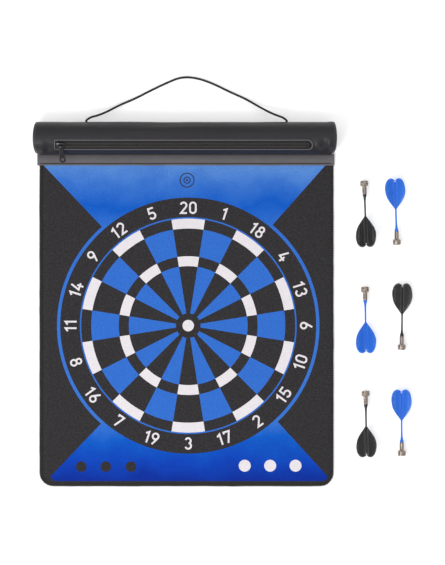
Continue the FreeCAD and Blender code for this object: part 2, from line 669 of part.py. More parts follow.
def dart(label, lie):
    """A dart stands along its own +Z, head down, before it is laid at `lie`."""
    pieces = ((dart_head(label), "_head"), (dart_flight(label), "_flight"))
    for item, ending in pieces:
        item.Placement = lie
        node(item, label + ending)
    magnet = doc.addObject("Part::Cylinder", label + "_magnet_piece")
    bind(magnet, {"Radius": "dims.magnet_radius", "Height": "dims.magnet_depth"})
    magnet.Placement = lie * Placement(Vector(0, 0, size["magnet_sink"]), Rotation())
    node(magnet, label + "_magnet")


def write_parts():
    """Checks every object and writes one STEP file for each sub-part."""
    for item in doc.Objects:
        if {"Invalid", "Error"} & set(item.State):
            raise RuntimeError("%s: %s" % (item.Label, item.State))
    for item in nodes:
        if item.Shape.isNull() or not item.Shape.isValid():
            raise RuntimeError("%s: bad shape" % item.Label)
    os.makedirs("parts", exist_ok=True)
    for item in nodes:
        item.Shape.exportStep("parts/%s.step" % item.Label)
    print("%d sub-parts" % len(nodes))


mat()
pouch_cover()
end_panel("header_end_left", "dims.tube_shift - dims.tube_length / 2")
end_panel("header_end_right", "dims.tube_shift + dims.tube_length / 2 - dims.end_panel")
zipper()
cord_knots()
slider()
pull()
carrying_cord()
for dart_name, dart_x, dart_y, dart_lean, dart_up in DARTS:
    dart(dart_name, dart_lie(dart_x, dart_y, dart_lean, dart_up))
doc.recompute()
write_parts()
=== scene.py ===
"""Looks of the roll-up magnetic dartboard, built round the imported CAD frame.

Shapes are in millimetres and become metres in their meshes. The board lies on z = 0 with its
printed face up, and +Y runs up to the pouch.
"""
from math import atan2, cos, degrees, exp, hypot, pi, radians, sin, sqrt

import bpy
from mathutils import Matrix, Vector, geometry, noise


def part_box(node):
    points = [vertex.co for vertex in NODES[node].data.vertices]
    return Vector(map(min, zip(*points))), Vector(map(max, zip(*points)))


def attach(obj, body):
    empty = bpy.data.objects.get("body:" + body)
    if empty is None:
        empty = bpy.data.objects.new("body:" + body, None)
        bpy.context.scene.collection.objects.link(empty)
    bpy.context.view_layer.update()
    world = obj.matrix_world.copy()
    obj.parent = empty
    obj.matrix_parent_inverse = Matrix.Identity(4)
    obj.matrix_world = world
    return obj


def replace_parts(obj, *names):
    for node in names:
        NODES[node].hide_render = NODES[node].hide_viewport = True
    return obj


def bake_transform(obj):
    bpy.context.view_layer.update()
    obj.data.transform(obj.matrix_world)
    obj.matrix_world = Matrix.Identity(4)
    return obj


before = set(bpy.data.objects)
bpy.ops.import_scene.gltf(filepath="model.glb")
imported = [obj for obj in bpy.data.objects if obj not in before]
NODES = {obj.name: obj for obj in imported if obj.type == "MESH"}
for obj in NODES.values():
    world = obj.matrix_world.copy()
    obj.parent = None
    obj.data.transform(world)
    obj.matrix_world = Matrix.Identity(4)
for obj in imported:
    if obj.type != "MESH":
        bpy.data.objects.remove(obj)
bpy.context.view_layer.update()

MM = 0.001


def box_mm(node):
    """Lowest and highest corner of a CAD node, in millimetres."""
    low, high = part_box(node)
    return Vector(low) / MM, Vector(high) / MM


FELT_LOW, FELT_HIGH = box_mm("mat_front_felt")
BACK_LOW, BACK_HIGH = box_mm("mat_back_felt")
BAND_LOW, BAND_HIGH = box_mm("edge_overlock_thread")
STRIP_LOW, STRIP_HIGH = box_mm("binding_strip_front")
COVER_LOW, COVER_HIGH = box_mm("header_cover")
TUBE_RADIUS = (COVER_HIGH.z - COVER_LOW.z) / 2
TUBE_Y = COVER_HIGH.y - TUBE_RADIUS
TUBE_Z = COVER_LOW.z + TUBE_RADIUS
ZIP_TURN = 30.3                 # where the zip's middle is round the pouch, in degrees
ZIP_ANGLE = radians(ZIP_TURN)
CORNER = 18.5


# ---------------------------------------------------------------- small tools

def smoothstep(low, high, value):
    part = min(1.0, max(0.0, (value - low) / (high - low)))
    return part * part * (3 - 2 * part)


def wave(x, y=0.0, z=0.0, size=40.0, seed=0.0):
    """Smooth noise between about -1 and 1, with features about `size` millimetres across."""
    return noise.noise(Vector((x / size + seed, y / size - seed, z / size + 2 * seed)))


def even(start, end, step):
    """Numbers from start to end, about a step apart."""
    count = max(1, round(abs(end - start) / step))
    return [start + (end - start) * part / count for part in range(count + 1)]


def ring_links(start, count):
    """Index pairs of a closed loop."""
    return [(start + index, start + (index + 1) % count) for index in range(count)]


def turned(degree, axis, size=4):
    return Matrix.Rotation(radians(degree), size, axis)


def new_mesh(name, points, faces, materials, crease_angle=None, smooth=True, pick=None):
    """A mesh from points in millimetres; `pick` is each face's material."""
    mesh = bpy.data.meshes.new(name)
    mesh.from_pydata([Vector(point) * MM for point in points], [], faces)
    for material in materials:
        mesh.materials.append(material)
    if pick is not None:
        mesh.polygons.foreach_set("material_index", pick)
    mesh.polygons.foreach_set("use_smooth", [smooth] * len(mesh.polygons))
    mesh.validate()
    mesh.update()
    if crease_angle is not None:
        mesh.set_sharp_from_angle(angle=radians(crease_angle))
    return mesh


def add_object(name, data):
    made = bpy.data.objects.new(name, data)
    bpy.context.scene.collection.objects.link(made)
    return made


def make(name, points, faces, body, slot, materials, **settings):
    """A mesh piece that rides on a body, unless it crosses a joint."""
    piece = add_object(name, new_mesh(name, points, faces, materials, **settings))
    if body is not None:
        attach(piece, body)
    return piece


def modify(piece, kind, **settings):
    modifier = piece.modifiers.new(kind.title(), kind)
    for key, value in settings.items():
        setattr(modifier, key, value)


def thicken(piece, thickness):
    """Gives a sheet its thickness, below the surface it was drawn with."""
    modify(piece, "SOLIDIFY", thickness=thickness * MM, offset=-1)


class Batch:
    """Collects points and faces of many small shapes for one piece."""

    def __init__(self):
        self.points = []
        self.faces = []

    def add(self, points, faces):
        start = len(self.points)
        self.points.extend(points)
        self.faces.extend(tuple(start + index for index in face) for face in faces)

    def tube(self, path, radius, sides=8, closed=False):
        """A round tube along a path; `radius` is a number or one number for each point."""
        path = [Vector(point) for point in path]
        count = len(path)
        radii = radius if hasattr(radius, "__len__") else [radius] * count
        points = []
        side_way = None
        for index, at in enumerate(path):
            before = path[index - 1] if closed or index else path[0]
            after = path[(index + 1) % count] if closed or index + 1 < count else path[-1]
            heading = (after - before).normalized()
            if side_way is None:
                side_way = heading.orthogonal().normalized()
            side_way = (side_way - heading * side_way.dot(heading)).normalized()
            up_way = heading.cross(side_way)
            for step in range(sides):
                turn = 2 * pi * step / sides
                points.append(at + (side_way * cos(turn) + up_way * sin(turn)) * radii[index])
        faces = []
        for index in range(count if closed else count - 1):
            here = index * sides
            there = ((index + 1) % count) * sides
            for step in range(sides):
                after = (step + 1) % sides
                faces.append((here + step, here + after, there + after, there + step))
        if not closed:
            faces.append(tuple(reversed(range(sides))))
            faces.append(tuple(range((count - 1) * sides, count * sides)))
        self.add(points, faces)

    def grid(self, rows, close_across=False, hole=None):
        """Quads between equal rows of points; `hole` says of a row and column that it is open."""
        width = len(rows[0])
        faces = []
        for row in range(len(rows) - 1):
            for column in range(width if close_across else width - 1):
                if hole is not None and hole(row, column):
                    continue
                after = (column + 1) % width
                faces.append((row * width + column, row * width + after,
                              (row + 1) * width + after, (row + 1) * width + column))
        self.add([point for row in rows for point in row], faces)

    def cap(self, rows):
        """Closes both ends of rows that were closed across."""
        self.add(rows[0], [tuple(reversed(range(len(rows[0]))))])
        self.add(rows[-1], [tuple(range(len(rows[-1])))])

    def lathe(self, profile, place, steps=40):
        """Turns (height, radius) pairs about +Z; a radius of 0 closes the end."""
        points, faces, rings = [], [], []
        for height, radius in profile:
            if radius == 0:
                rings.append([len(points)] * steps)
                points.append(place @ Vector((0, 0, height)))
                continue
            rings.append(list(range(len(points), len(points) + steps)))
            for step in range(steps):
                turn = 2 * pi * step / steps
                points.append(place @ Vector((radius * cos(turn), radius * sin(turn), height)))
        for low, high in zip(rings, rings[1:]):
            for step in range(steps):
                after = (step + 1) % steps
                faces.append(tuple(dict.fromkeys((low[step], low[after], high[after], high[step]))))
        self.add(points, faces)

    def make(self, name, body, slot, material, **settings):
        return make(name, self.points, self.faces, body, slot, [material], **settings)


# ---------------------------------------------------------------- materials

SOCKETS = {"roughness": "Roughness", "metallic": "Metallic", "specular": "Specular IOR Level",
           "sheen": "Sheen Weight", "sheen_roughness": "Sheen Roughness", "coat": "Coat Weight"}


def linear(red, green, blue):
    """Linear colour from 0-255 screen values."""
    def channel(value):
        value /= 255
        return value / 12.92 if value <= 0.04045 else ((value + 0.055) / 1.055) ** 2.4
    return channel(red), channel(green), channel(blue), 1.0


class Surface:
    """A Principled material built up with procedural nodes, scaled in millimetres."""

    def __init__(self, name, **settings):
        self.material = bpy.data.materials.new(name)
        self.material.use_nodes = True
        self.tree = self.material.node_tree
        self.shader = self.tree.nodes["Principled BSDF"]
        for key, value in settings.items():
            self.shader.inputs[SOCKETS[key]].default_value = value
        self.place = self.node("ShaderNodeTexCoord").outputs["Object"]
        self.base = None
        self.height = None

    def node(self, kind, **inputs):
        made = self.tree.nodes.new(kind)
        for key, value in inputs.items():
            self.set(made.inputs[key.replace("_", " ")], value)
        return made

    def set(self, socket, value):
        if isinstance(value, bpy.types.NodeSocket):
            self.tree.links.new(value, socket)
        else:
            socket.default_value = value

    def stretched(self, scale):
        """Object coordinates in millimetres, times a scale for each axis."""
        made = self.node("ShaderNodeMapping", Vector=self.place)
        made.inputs["Scale"].default_value = [value / MM for value in scale]
        return made.outputs["Vector"]

    def noise(self, size, detail=3.0, rough=0.55, stretch=(1, 1, 1)):
        """Noise with features about `size` millimetres across, 0 to 1."""
        where = self.stretched([value / size for value in stretch])
        return self.node("ShaderNodeTexNoise", Vector=where, Scale=1.0, Detail=detail,
                         Roughness=rough).outputs["Fac"]

    def cells(self, size, feature="F1"):
        made = self.node("ShaderNodeTexVoronoi", Vector=self.stretched([1 / size] * 3), Scale=1.0)
        made.feature = feature
        return made.outputs["Distance"]

    def bands(self, pitch, axis):
        """Smooth ridges across one axis, 0 to 1."""
        made = self.node("ShaderNodeTexWave", Vector=self.stretched((1, 1, 1)),
                         Scale=2 * pi / pitch / 20)
        made.bands_direction = axis
        return made.outputs["Fac"]

    def math(self, operation, first, second):
        made = self.node("ShaderNodeMath")
        made.operation = operation
        self.set(made.inputs[0], first)
        self.set(made.inputs[1], second)
        return made.outputs[0]

    def spread(self, value, low, high, start=0.0, end=1.0):
        """Maps start..end onto low..high."""
        return self.node("ShaderNodeMapRange", Value=value, From_Min=start, From_Max=end,
                         To_Min=low, To_Max=high).outputs["Result"]

    def ramp(self, value, stops):
        made = self.node("ShaderNodeValToRGB", Fac=value)
        elements = made.color_ramp.elements
        while len(elements) < len(stops):
            elements.new(0.5)
        for element, (place, colour) in zip(elements, stops):
            element.position = place
            element.color = colour
        return made.outputs["Color"]

    def mix(self, amount, first, second, blend="MIX"):
        made = self.node("ShaderNodeMix")
        made.data_type = "RGBA"
        made.blend_type = blend
        for name, value in (("Factor", amount), ("A", first), ("B", second)):
            kind = "VALUE" if name == "Factor" else "RGBA"
            self.set(next(item for item in made.inputs if item.name == name and item.type == kind), value)
        return next(item for item in made.outputs if item.type == "RGBA")

    def colour(self, value):
        self.base = value
        self.set(self.shader.inputs["Base Color"], value)

    def tone(self, amount, low, high):
        """Darkens and lightens the colour by a 0 to 1 value."""
        level = self.spread(amount, low, high)
        grey = self.node("ShaderNodeCombineColor", Red=level, Green=level, Blue=level).outputs["Color"]
        self.colour(self.mix(1.0, self.base, grey, "MULTIPLY"))

    def rough(self, value, low, high):
        self.set(self.shader.inputs["Roughness"], self.spread(value, low, high))

    def bump(self, value, depth):
        """Adds relief `depth` millimetres high."""
        made = self.node("ShaderNodeBump", Height=value, Distance=depth * MM, Strength=1.0)
        if self.height is not None:
            self.set(made.inputs["Normal"], self.height)
        self.height = made.outputs["Normal"]
        self.set(self.shader.inputs["Normal"], self.height)


def felt(name, colour, sheen=0.15, contrast=0.25):
    """Short brushed fibre: fine fuzz, faint mottling, and a nap that catches the light."""
    surface = Surface(name, roughness=0.95, specular=0.15, sheen=sheen, sheen_roughness=0.6)
    fuzz = surface.noise(0.45, detail=4, rough=0.7)
    fibres = surface.noise(1.6, detail=3, rough=0.75, stretch=(1.0, 0.35, 1.0))
    mottle = surface.noise(9.0, detail=3)
    specks = surface.noise(2.4, detail=2, rough=0.6)
    surface.colour(colour(surface) if callable(colour) else colour)
    reaches = ((specks, contrast * 1.8), (fuzz, contrast), (fibres, contrast * 0.7), (mottle, 0.06))
    for value, reach in reaches:
        surface.tone(value, 1 - reach, 1 + reach)
    surface.rough(fuzz, 0.86, 1.0)
    surface.bump(fibres, 0.10)
    surface.bump(fuzz, 0.16)
    return surface.material


def blue_field(surface):
    """The print's blue with painted light on it: lighter towards the top and darker towards the foot, with a
    darker band above the dial and soft clouds in it.
    """
    height = surface.node("ShaderNodeSeparateXYZ", Vector=surface.place).outputs["Y"]
    clouds = surface.noise(45.0, detail=2.0, rough=0.5)
    fine = surface.noise(16.0, detail=2.0)
    drift = surface.math("ADD", surface.spread(clouds, -0.020, 0.020), surface.spread(fine, -0.004, 0.004))
    shifted = surface.math("ADD", height, drift)
    part = surface.spread(shifted, 0.0, 1.0, BACK_LOW.y * MM, BACK_HIGH.y * MM)
    return surface.ramp(part, ((0.02, BLUE_NIGHT), (0.075, BLUE_DEEP), (0.15, BLUE_MID), (0.21, BLUE_SOFT),
                               (0.50, BLUE_SOFT), (0.80, BLUE_DIAL), (0.87, BLUE_MID), (0.94, BLUE_SOFT),
                               (1.0, BLUE_PALE)))


# Stops of the blue ramp: the blue itself is the print's, and its fade from a pale top to a dark foot is
# painted light.
BLUE_NIGHT = linear(2, 44, 150)
BLUE_DEEP = linear(2, 64, 178)
BLUE_MID = linear(6, 88, 192)
BLUE_SOFT = linear(54, 112, 202)
BLUE_DIAL = linear(48, 107, 200)
BLUE_PALE = linear(90, 142, 216)

FELT_BLACK = felt("print_black", linear(44, 42, 44), contrast=0.5)
FELT_WHITE = felt("print_white", linear(226, 221, 225), sheen=0.03, contrast=0.05)
FELT_DIAL = felt("print_dial_blue", BLUE_DIAL, sheen=0.06, contrast=0.14)
# The field's blue carries painted light: lighter towards the top, darker towards the foot.
FELT_FIELD = felt("print_field_blue", blue_field, sheen=0.04, contrast=0.12)
FELT_BACK = felt("backing_felt", linear(44, 42, 45), contrast=0.3)


def thread(name, colour, gloss=0.5, ply=0.5):
    """Twisted polyester thread."""
    surface = Surface(name, roughness=gloss, specular=0.4, sheen=0.2)
    twist = surface.noise(ply, detail=2, stretch=(1.0, 2.2, 1.0))
    surface.colour(colour)
    surface.tone(twist, 0.7, 1.35)
    surface.rough(twist, gloss - 0.1, gloss + 0.15)
    surface.bump(twist, 0.08)
    return surface.material


EDGE_THREAD = thread("edge_thread", linear(20, 18, 19), gloss=0.7)
EDGE_LOOPS = thread("edge_loops", linear(28, 26, 27), gloss=0.6)
WINDOW_THREAD = thread("window_thread", linear(20, 19, 21), ply=0.35)
ZIP_SEAM = thread("zip_seam", linear(62, 60, 63), ply=0.3)
SEAM_THREAD = thread("seam_thread", linear(14, 13, 15), gloss=0.55, ply=0.35)


def leatherette(name, colour, roughness, bulge_colour, specular=0.5):
    """Coated cloth with a pebbled grain, paler where it bulges out."""
    surface = Surface(name, roughness=roughness, specular=specular)
    pebbles = surface.cells(0.5)
    creases = surface.cells(1.3, "DISTANCE_TO_EDGE")
    cloud = surface.noise(22.0, detail=3)
    pores = surface.noise(0.25, detail=2)
    surface.colour(colour)
    surface.tone(cloud, 0.82, 1.18)
    surface.tone(pebbles, 1.12, 0.86)
    # Bulges and ridges turn towards a paler colour, by how much the skin bulges out.
    edge = surface.node("ShaderNodeNewGeometry").outputs["Pointiness"]
    surface.colour(surface.mix(surface.spread(edge, 0.0, 1.0, 0.52, 0.60), surface.base, bulge_colour))
    surface.rough(surface.math("MULTIPLY", pebbles, 0.7), roughness - 0.08, roughness + 0.2)
    surface.bump(surface.spread(creases, 0.0, 1.0, 0.0, 0.25), 0.015)
    surface.bump(pebbles, -0.035)
    surface.bump(pores, 0.012)
    return surface.material


POUCH_LEATHER = leatherette("pouch_leatherette", linear(33, 31, 35), 0.44, linear(64, 62, 67), specular=0.38)
# The lip is the pouch's own leatherette, painted much paler: a painted highlight along its fold.
LIP_LEATHER_PAINTED_HIGHLIGHT = leatherette("lip_leatherette_painted_highlight", linear(84, 82, 86), 0.42, linear(128, 126, 130))
# The strip is the same leatherette as the pouch, painted paler: painted light on its flat face.
STRIP_LEATHER_PAINTED_LIGHT = leatherette("strip_leatherette", linear(96, 92, 96), 0.55, linear(124, 120, 124))


def weave(name, colour, pitch):
    """Woven zip tape: ribs along and across."""
    surface = Surface(name, roughness=0.8, specular=0.25, sheen=0.2)
    both = surface.math("MULTIPLY", surface.bands(pitch, "X"), surface.bands(pitch * 0.8, "Y"))
    surface.colour(colour)
    surface.tone(both, 0.6, 1.4)
    surface.rough(both, 0.72, 0.9)
    surface.bump(both, 0.12)
    return surface.material


def moulded(name, colour, roughness, coat=0.0):
    """Moulded plastic: smooth skin with faint flow marks and dust."""
    surface = Surface(name, roughness=roughness, coat=coat)
    flow = surface.noise(4.0, detail=3, stretch=(1.0, 0.3, 1.0))
    grain = surface.noise(0.35, detail=3)
    surface.colour(colour)
    surface.tone(flow, 0.85, 1.15)
    surface.rough(grain, roughness - 0.08, roughness + 0.14)
    surface.bump(grain, 0.02)
    surface.bump(flow, 0.03)
    return surface.material


def plated(name, colour, roughness):
    """Plated steel: turning marks and small scuffs, duller where scuffed."""
    surface = Surface(name, roughness=roughness, metallic=1.0)
    turning = surface.noise(0.5, detail=2, stretch=(0.25, 3.0, 0.25))
    scuffs = surface.noise(1.8, detail=5, rough=0.7)
    surface.colour(colour)
    surface.tone(scuffs, 0.8, 1.15)
    dull = surface.math("ADD", surface.math("MULTIPLY", scuffs, 0.7), surface.math("MULTIPLY", turning, 0.3))
    surface.rough(dull, roughness - 0.08, roughness + 0.22)
    surface.bump(turning, 0.015)
    surface.bump(scuffs, 0.01)
    return surface.material


def rubber():
    surface = Surface("magnetic_rubber", roughness=0.85, specular=0.3)
    filler = surface.noise(0.3, detail=4)
    surface.colour(linear(64, 58, 54))
    surface.tone(filler, 0.8, 1.2)
    surface.rough(filler, 0.75, 0.95)
    surface.bump(filler, 0.03)
    return surface.material


def cord_cover():
    """Braided cord: the braid is in the mesh, and the yarn's own fibres are here."""
    surface = Surface("cord_braid", roughness=0.7, specular=0.3, sheen=0.25)
    yarn = surface.noise(0.35, detail=3)
    surface.colour(linear(30, 29, 32))
    surface.tone(yarn, 0.65, 1.4)
    surface.tone(surface.noise(5.0, detail=2), 0.9, 1.1)
    surface.rough(yarn, 0.6, 0.85)
    surface.bump(yarn, 0.08)
    return surface.material


ZIP_TAPE = weave("zip_tape", linear(44, 42, 43), 0.55)
ZIP_COIL = moulded("zip_coil", linear(72, 69, 66), 0.32)
LACQUER = moulded("black_lacquer", linear(16, 16, 18), 0.22, coat=0.5)
BLACK_PLASTIC = moulded("dart_black_plastic", linear(18, 17, 18), 0.27)
BLUE_PLASTIC = moulded("dart_blue_plastic", linear(0, 112, 224), 0.27)
DARK_NICKEL = plated("dark_nickel", linear(160, 148, 138), 0.17)
MAGNET_NICKEL = plated("magnet_nickel", linear(196, 194, 192), 0.18)
RUBBER = rubber()
CORD = cord_cover()


# ---------------------------------------------------------------- printed face

DISC_X = 2.2            # the print sits a little to the right of the mat's middle
BULL, OUTER_BULL = 7.4, 15.9
TREBLE = (76.7, 89.5)
DOUBLE = (125.2, 138.0)
FINE_LINE, NUMBER_RING, BLUE_RING = 139.9, 165.1, 169.3
NUMBERS = (20, 1, 18, 4, 13, 6, 10, 15, 2, 17, 3, 19, 7, 16, 8, 11, 14, 9, 12, 5)
SECTOR = 360 / len(NUMBERS)
INK = 2.35              # stroke of the numerals
TALL, WIDE = 16.0, 9.8  # numerals over their strokes
NUMERAL_GAP, NUMERAL_RADIUS = 2.2, 152.0
# Where each slanting edge of the black side panels begins, and where it meets the blue ring.
PANEL_EDGES = {"top_left": ((-186.4, 206.5), (-111.3, 127.6)),
               "bottom_left": ((-178.0, -195.0), (-112.6, -126.6)),
               "top_right": ((176.7, 206.5), (108.7, 129.7)),
               "bottom_right": ((180.0, -195.0), (115.4, -124.0))}
PRINT_TOP = STRIP_LOW.y + 4     # the blue print stops under the strip
FOOT_Y = -200.5         # and ends below in a rounded black border
FOOT_LEFT, FOOT_RIGHT, FOOT_RADIUS = -178.7, 181.5, 10.0
BLACK_DOTS = [(x, -181.9, 6.9) for x in (-138.0, -106.4, -73.8)]
WHITE_DOTS = [(x, -180.7, 7.7) for x in (72.9, 105.7, 138.4)]
SIGN = (-1.5, 187.6)    # a plain target sign
SIGN_RINGS = ((9.6, 8.3), (4.6, 3.4))
SIGN_DOT = 1.3
BLACK, WHITE, DIAL_BLUE, FIELD_BLUE = range(4)


def arc(x, y, radius, start, end, steps):
    """Points on a circle between two angles in degrees, both ends included."""
    turns = [radians(start + (end - start) * step / steps) for step in range(steps + 1)]
    return [(x + radius * cos(turn), y + radius * sin(turn)) for turn in turns]


def circle(x, y, radius, steps):
    return arc(x, y, radius, 0, 360, steps)[:-1]


def stroke(path, closed=False):
    """A line of ink along a path: one outline loop, or two round a closed path."""
    half = INK / 2
    points = [Vector(point) for point in path]
    count = len(points)
    left, right = [], []
    for index, point in enumerate(points):
        ways = []
        if closed or index:
            ways.append((point - points[index - 1]).normalized())
        if closed or index + 1 < count:
            ways.append((points[(index + 1) % count] - point).normalized())
        normals = [Vector((-way.y, way.x)) for way in ways]
        middle = sum(normals, Vector((0, 0))).normalized()
        reach = half / max(0.45, middle.dot(normals[0]))
        left.append(point + middle * reach)
        right.append(point - middle * reach)
    return [left, right] if closed else [left + right[::-1]]


def numeral(digit):
    """The strokes of an upright digit centred on the origin."""
    x, y = (WIDE - INK) / 2, (TALL - INK) / 2
    bowl = x
    low = -y + bowl
    end = y + INK / 2
    open_lines, loops = [], []
    if digit == "0":
        loops = [arc(0, y - bowl, bowl, 0, 180, 14) + arc(0, low, bowl, 180, 360, 14)]
    elif digit == "1":
        open_lines = [((-2.9, y - 3.3), (0.9, y - 0.6), (0.9, -end))]
    elif digit == "2":
        open_lines = [arc(0, y - bowl, bowl, 165, -28, 16) + [(-x + 0.3, -y), (x + 0.6, -y)]]
    elif digit == "3":
        open_lines = [arc(-0.2, y - 3.4, 3.4, 160, -75, 14), arc(-0.1, low, bowl, 80, -160, 16)]
    elif digit == "4":
        open_lines = [((0.4, end), (-x - 0.1, -y + 3.6), (x + 1.1, -y + 3.6)), ((1.5, 0.4), (1.5, -end))]
    elif digit == "5":
        belly = arc(-0.2, low + 0.2, bowl + 0.2, 118, -155, 18)
        open_lines = [[(x, y), (-x + 0.7, y), (-x + 0.35, 0.5)] + belly]
    elif digit in "69":
        flip = 1 if digit == "6" else -1
        loops = [[(flip * px, flip * py) for px, py in circle(0, low, bowl, 26)]]
        open_lines = [[(flip * px, flip * py) for px, py in ((1.9, end), (-bowl + 0.55, low + 1.9))]]
    elif digit == "7":
        open_lines = [((-x, y - 2.6), (-x, y), (x - 0.2, y), (-1.5, -end))]
    else:
        small = 3.15
        loops = [circle(0, y - small, small, 22), circle(0, low, bowl, 26)]
    return [stroke(path, closed=True) for path in loops] + [stroke(path) for path in open_lines]


def numerals():
    """The dial's strokes for each sector. Numbers below the middle are turned over, to read upright."""
    dial = []
    for index, number in enumerate(NUMBERS):
        angle = index * SECTOR
        digits = str(number)
        widths = [6.2 if digit == "1" else WIDE for digit in digits]
        at = -(sum(widths) + NUMERAL_GAP * (len(digits) - 1)) / 2
        spin = turned(-angle + (180 if 100 < angle < 260 else 0), "Z", 2)
        middle = Vector((sin(radians(angle)), cos(radians(angle)))) * NUMERAL_RADIUS
        shapes = []
        for digit, width in zip(digits, widths):
            offset = Vector((at + width / 2, 0))
            for shape in numeral(digit):
                shapes.append([[tuple(middle + spin @ (Vector(point) + offset)) for point in loop]
                               for loop in shape])
            at += width + NUMERAL_GAP
        dial.append(shapes)
    return dial


def covers(shape, x, y):
    """Even-odd test of a point against the loops of one shape."""
    odd = False
    for loop in shape:
        for (ax, ay), (bx, by) in zip(loop, loop[1:] + loop[:1]):
            if (ay > y) != (by > y) and x < (bx - ax) * (y - ay) / (by - ay) + ax:
                odd = not odd
    return odd


def cut_flat(points, links, border):
    """Triangles between flat points that lie inside a border: all points, the faces, their middles."""
    flat, _, triangles, *_ = geometry.delaunay_2d_cdt(points, links, [], 0, 1e-5)
    faces, middles = [], []
    for face in triangles:
        middle = sum((flat[index] for index in face), Vector((0, 0))) / len(face)
        if covers(border, middle.x, middle.y):
            faces.append(tuple(face))
            middles.append(middle)
    return flat, faces, middles


def sector_at(x, y):
    return int(((degrees(atan2(x, y)) + SECTOR / 2) % 360) // SECTOR)


def edge_height(corner, x):
    """Height of a side panel's slanting edge at x."""
    (ax, ay), (bx, by) = PANEL_EDGES[corner]
    return ay + (by - ay) * (x - ax) / (bx - ax)


def dial_ink(x, y, radius):
    """Ink of the scoring field: a bull, then sectors that alternate, with two counter-changed rings."""
    if radius < BULL:
        return WHITE
    if radius < OUTER_BULL:
        return BLACK
    ring = TREBLE[0] < radius < TREBLE[1] or radius > DOUBLE[0]
    if sector_at(x, y) % 2:
        return BLACK if ring else DIAL_BLUE
    return WHITE if ring else BLACK


def ink_at(x, y, dial, marks):
    """Which ink covers a point in the dial's own plane."""
    radius = hypot(x, y)
    if radius < DOUBLE[1]:
        return dial_ink(x, y, radius)
    if radius < FINE_LINE:
        return DIAL_BLUE
    if radius < NUMBER_RING:
        return WHITE if any(covers(shape, x, y) for shape in dial[sector_at(x, y)]) else BLACK
    if radius < BLUE_RING:
        return FIELD_BLUE
    for shape, colour in marks:
        if covers(shape, x, y):
            return colour
    side = "left" if x < 0 else "right"
    if y > PRINT_TOP or edge_height("bottom_" + side, x) < y < edge_height("top_" + side, x):
        return BLACK
    return FIELD_BLUE if y > 0 or inside_foot(x, y) else BLACK


def inside_foot(x, y):
    """Inside the rounded foot of the blue print."""
    if y < FOOT_Y or not FOOT_LEFT < x < FOOT_RIGHT:
        return False
    middle_x = min(max(x, FOOT_LEFT + FOOT_RADIUS), FOOT_RIGHT - FOOT_RADIUS)
    middle_y = max(y, FOOT_Y + FOOT_RADIUS)
    return hypot(x - middle_x, y - middle_y) <= FOOT_RADIUS + 0.001


def rounded_foot(left, right, foot, radius, steps):
    """The two lower corners of an outline, from its left side to its right."""
    return (arc(left + radius, foot + radius, radius, 180, 270, steps)
            + arc(right - radius, foot + radius, radius, 270, 360, steps))


def mat_outline(inset, top, steps=10):
    """The mat's outline from its top left, down and round to its top right."""
    left, right, foot = BAND_LOW.x + inset, BAND_HIGH.x - inset, BAND_LOW.y + inset
    return [(left, top)] + rounded_foot(left, right, foot, CORNER - inset, steps) + [(right, top)]


def spaced(path, step):
    """Extra points on the long sides of an open path."""
    out = [Vector(path[0])]
    for start, end in zip(path, path[1:]):
        start, end = Vector(start), Vector(end)
        pieces = max(1, round((end - start).length / step))
        out += [start.lerp(end, piece / pieces) for piece in range(1, pieces + 1)]
    return out


def closed_outline(top, step):
    """The mat's whole outline, just inside its stitches, in short steps."""
    outline = spaced(mat_outline(0.6, top), step)
    return outline + spaced((outline[-1], outline[0]), step)[1:-1]


def surface_lift(x, y):
    """The mat isn't quite flat: it ripples by a fraction of a millimetre."""
    return 0.22 * wave(x, y, size=85, seed=3.1) + 0.10 * wave(x, y, size=28, seed=7.7) + 0.1


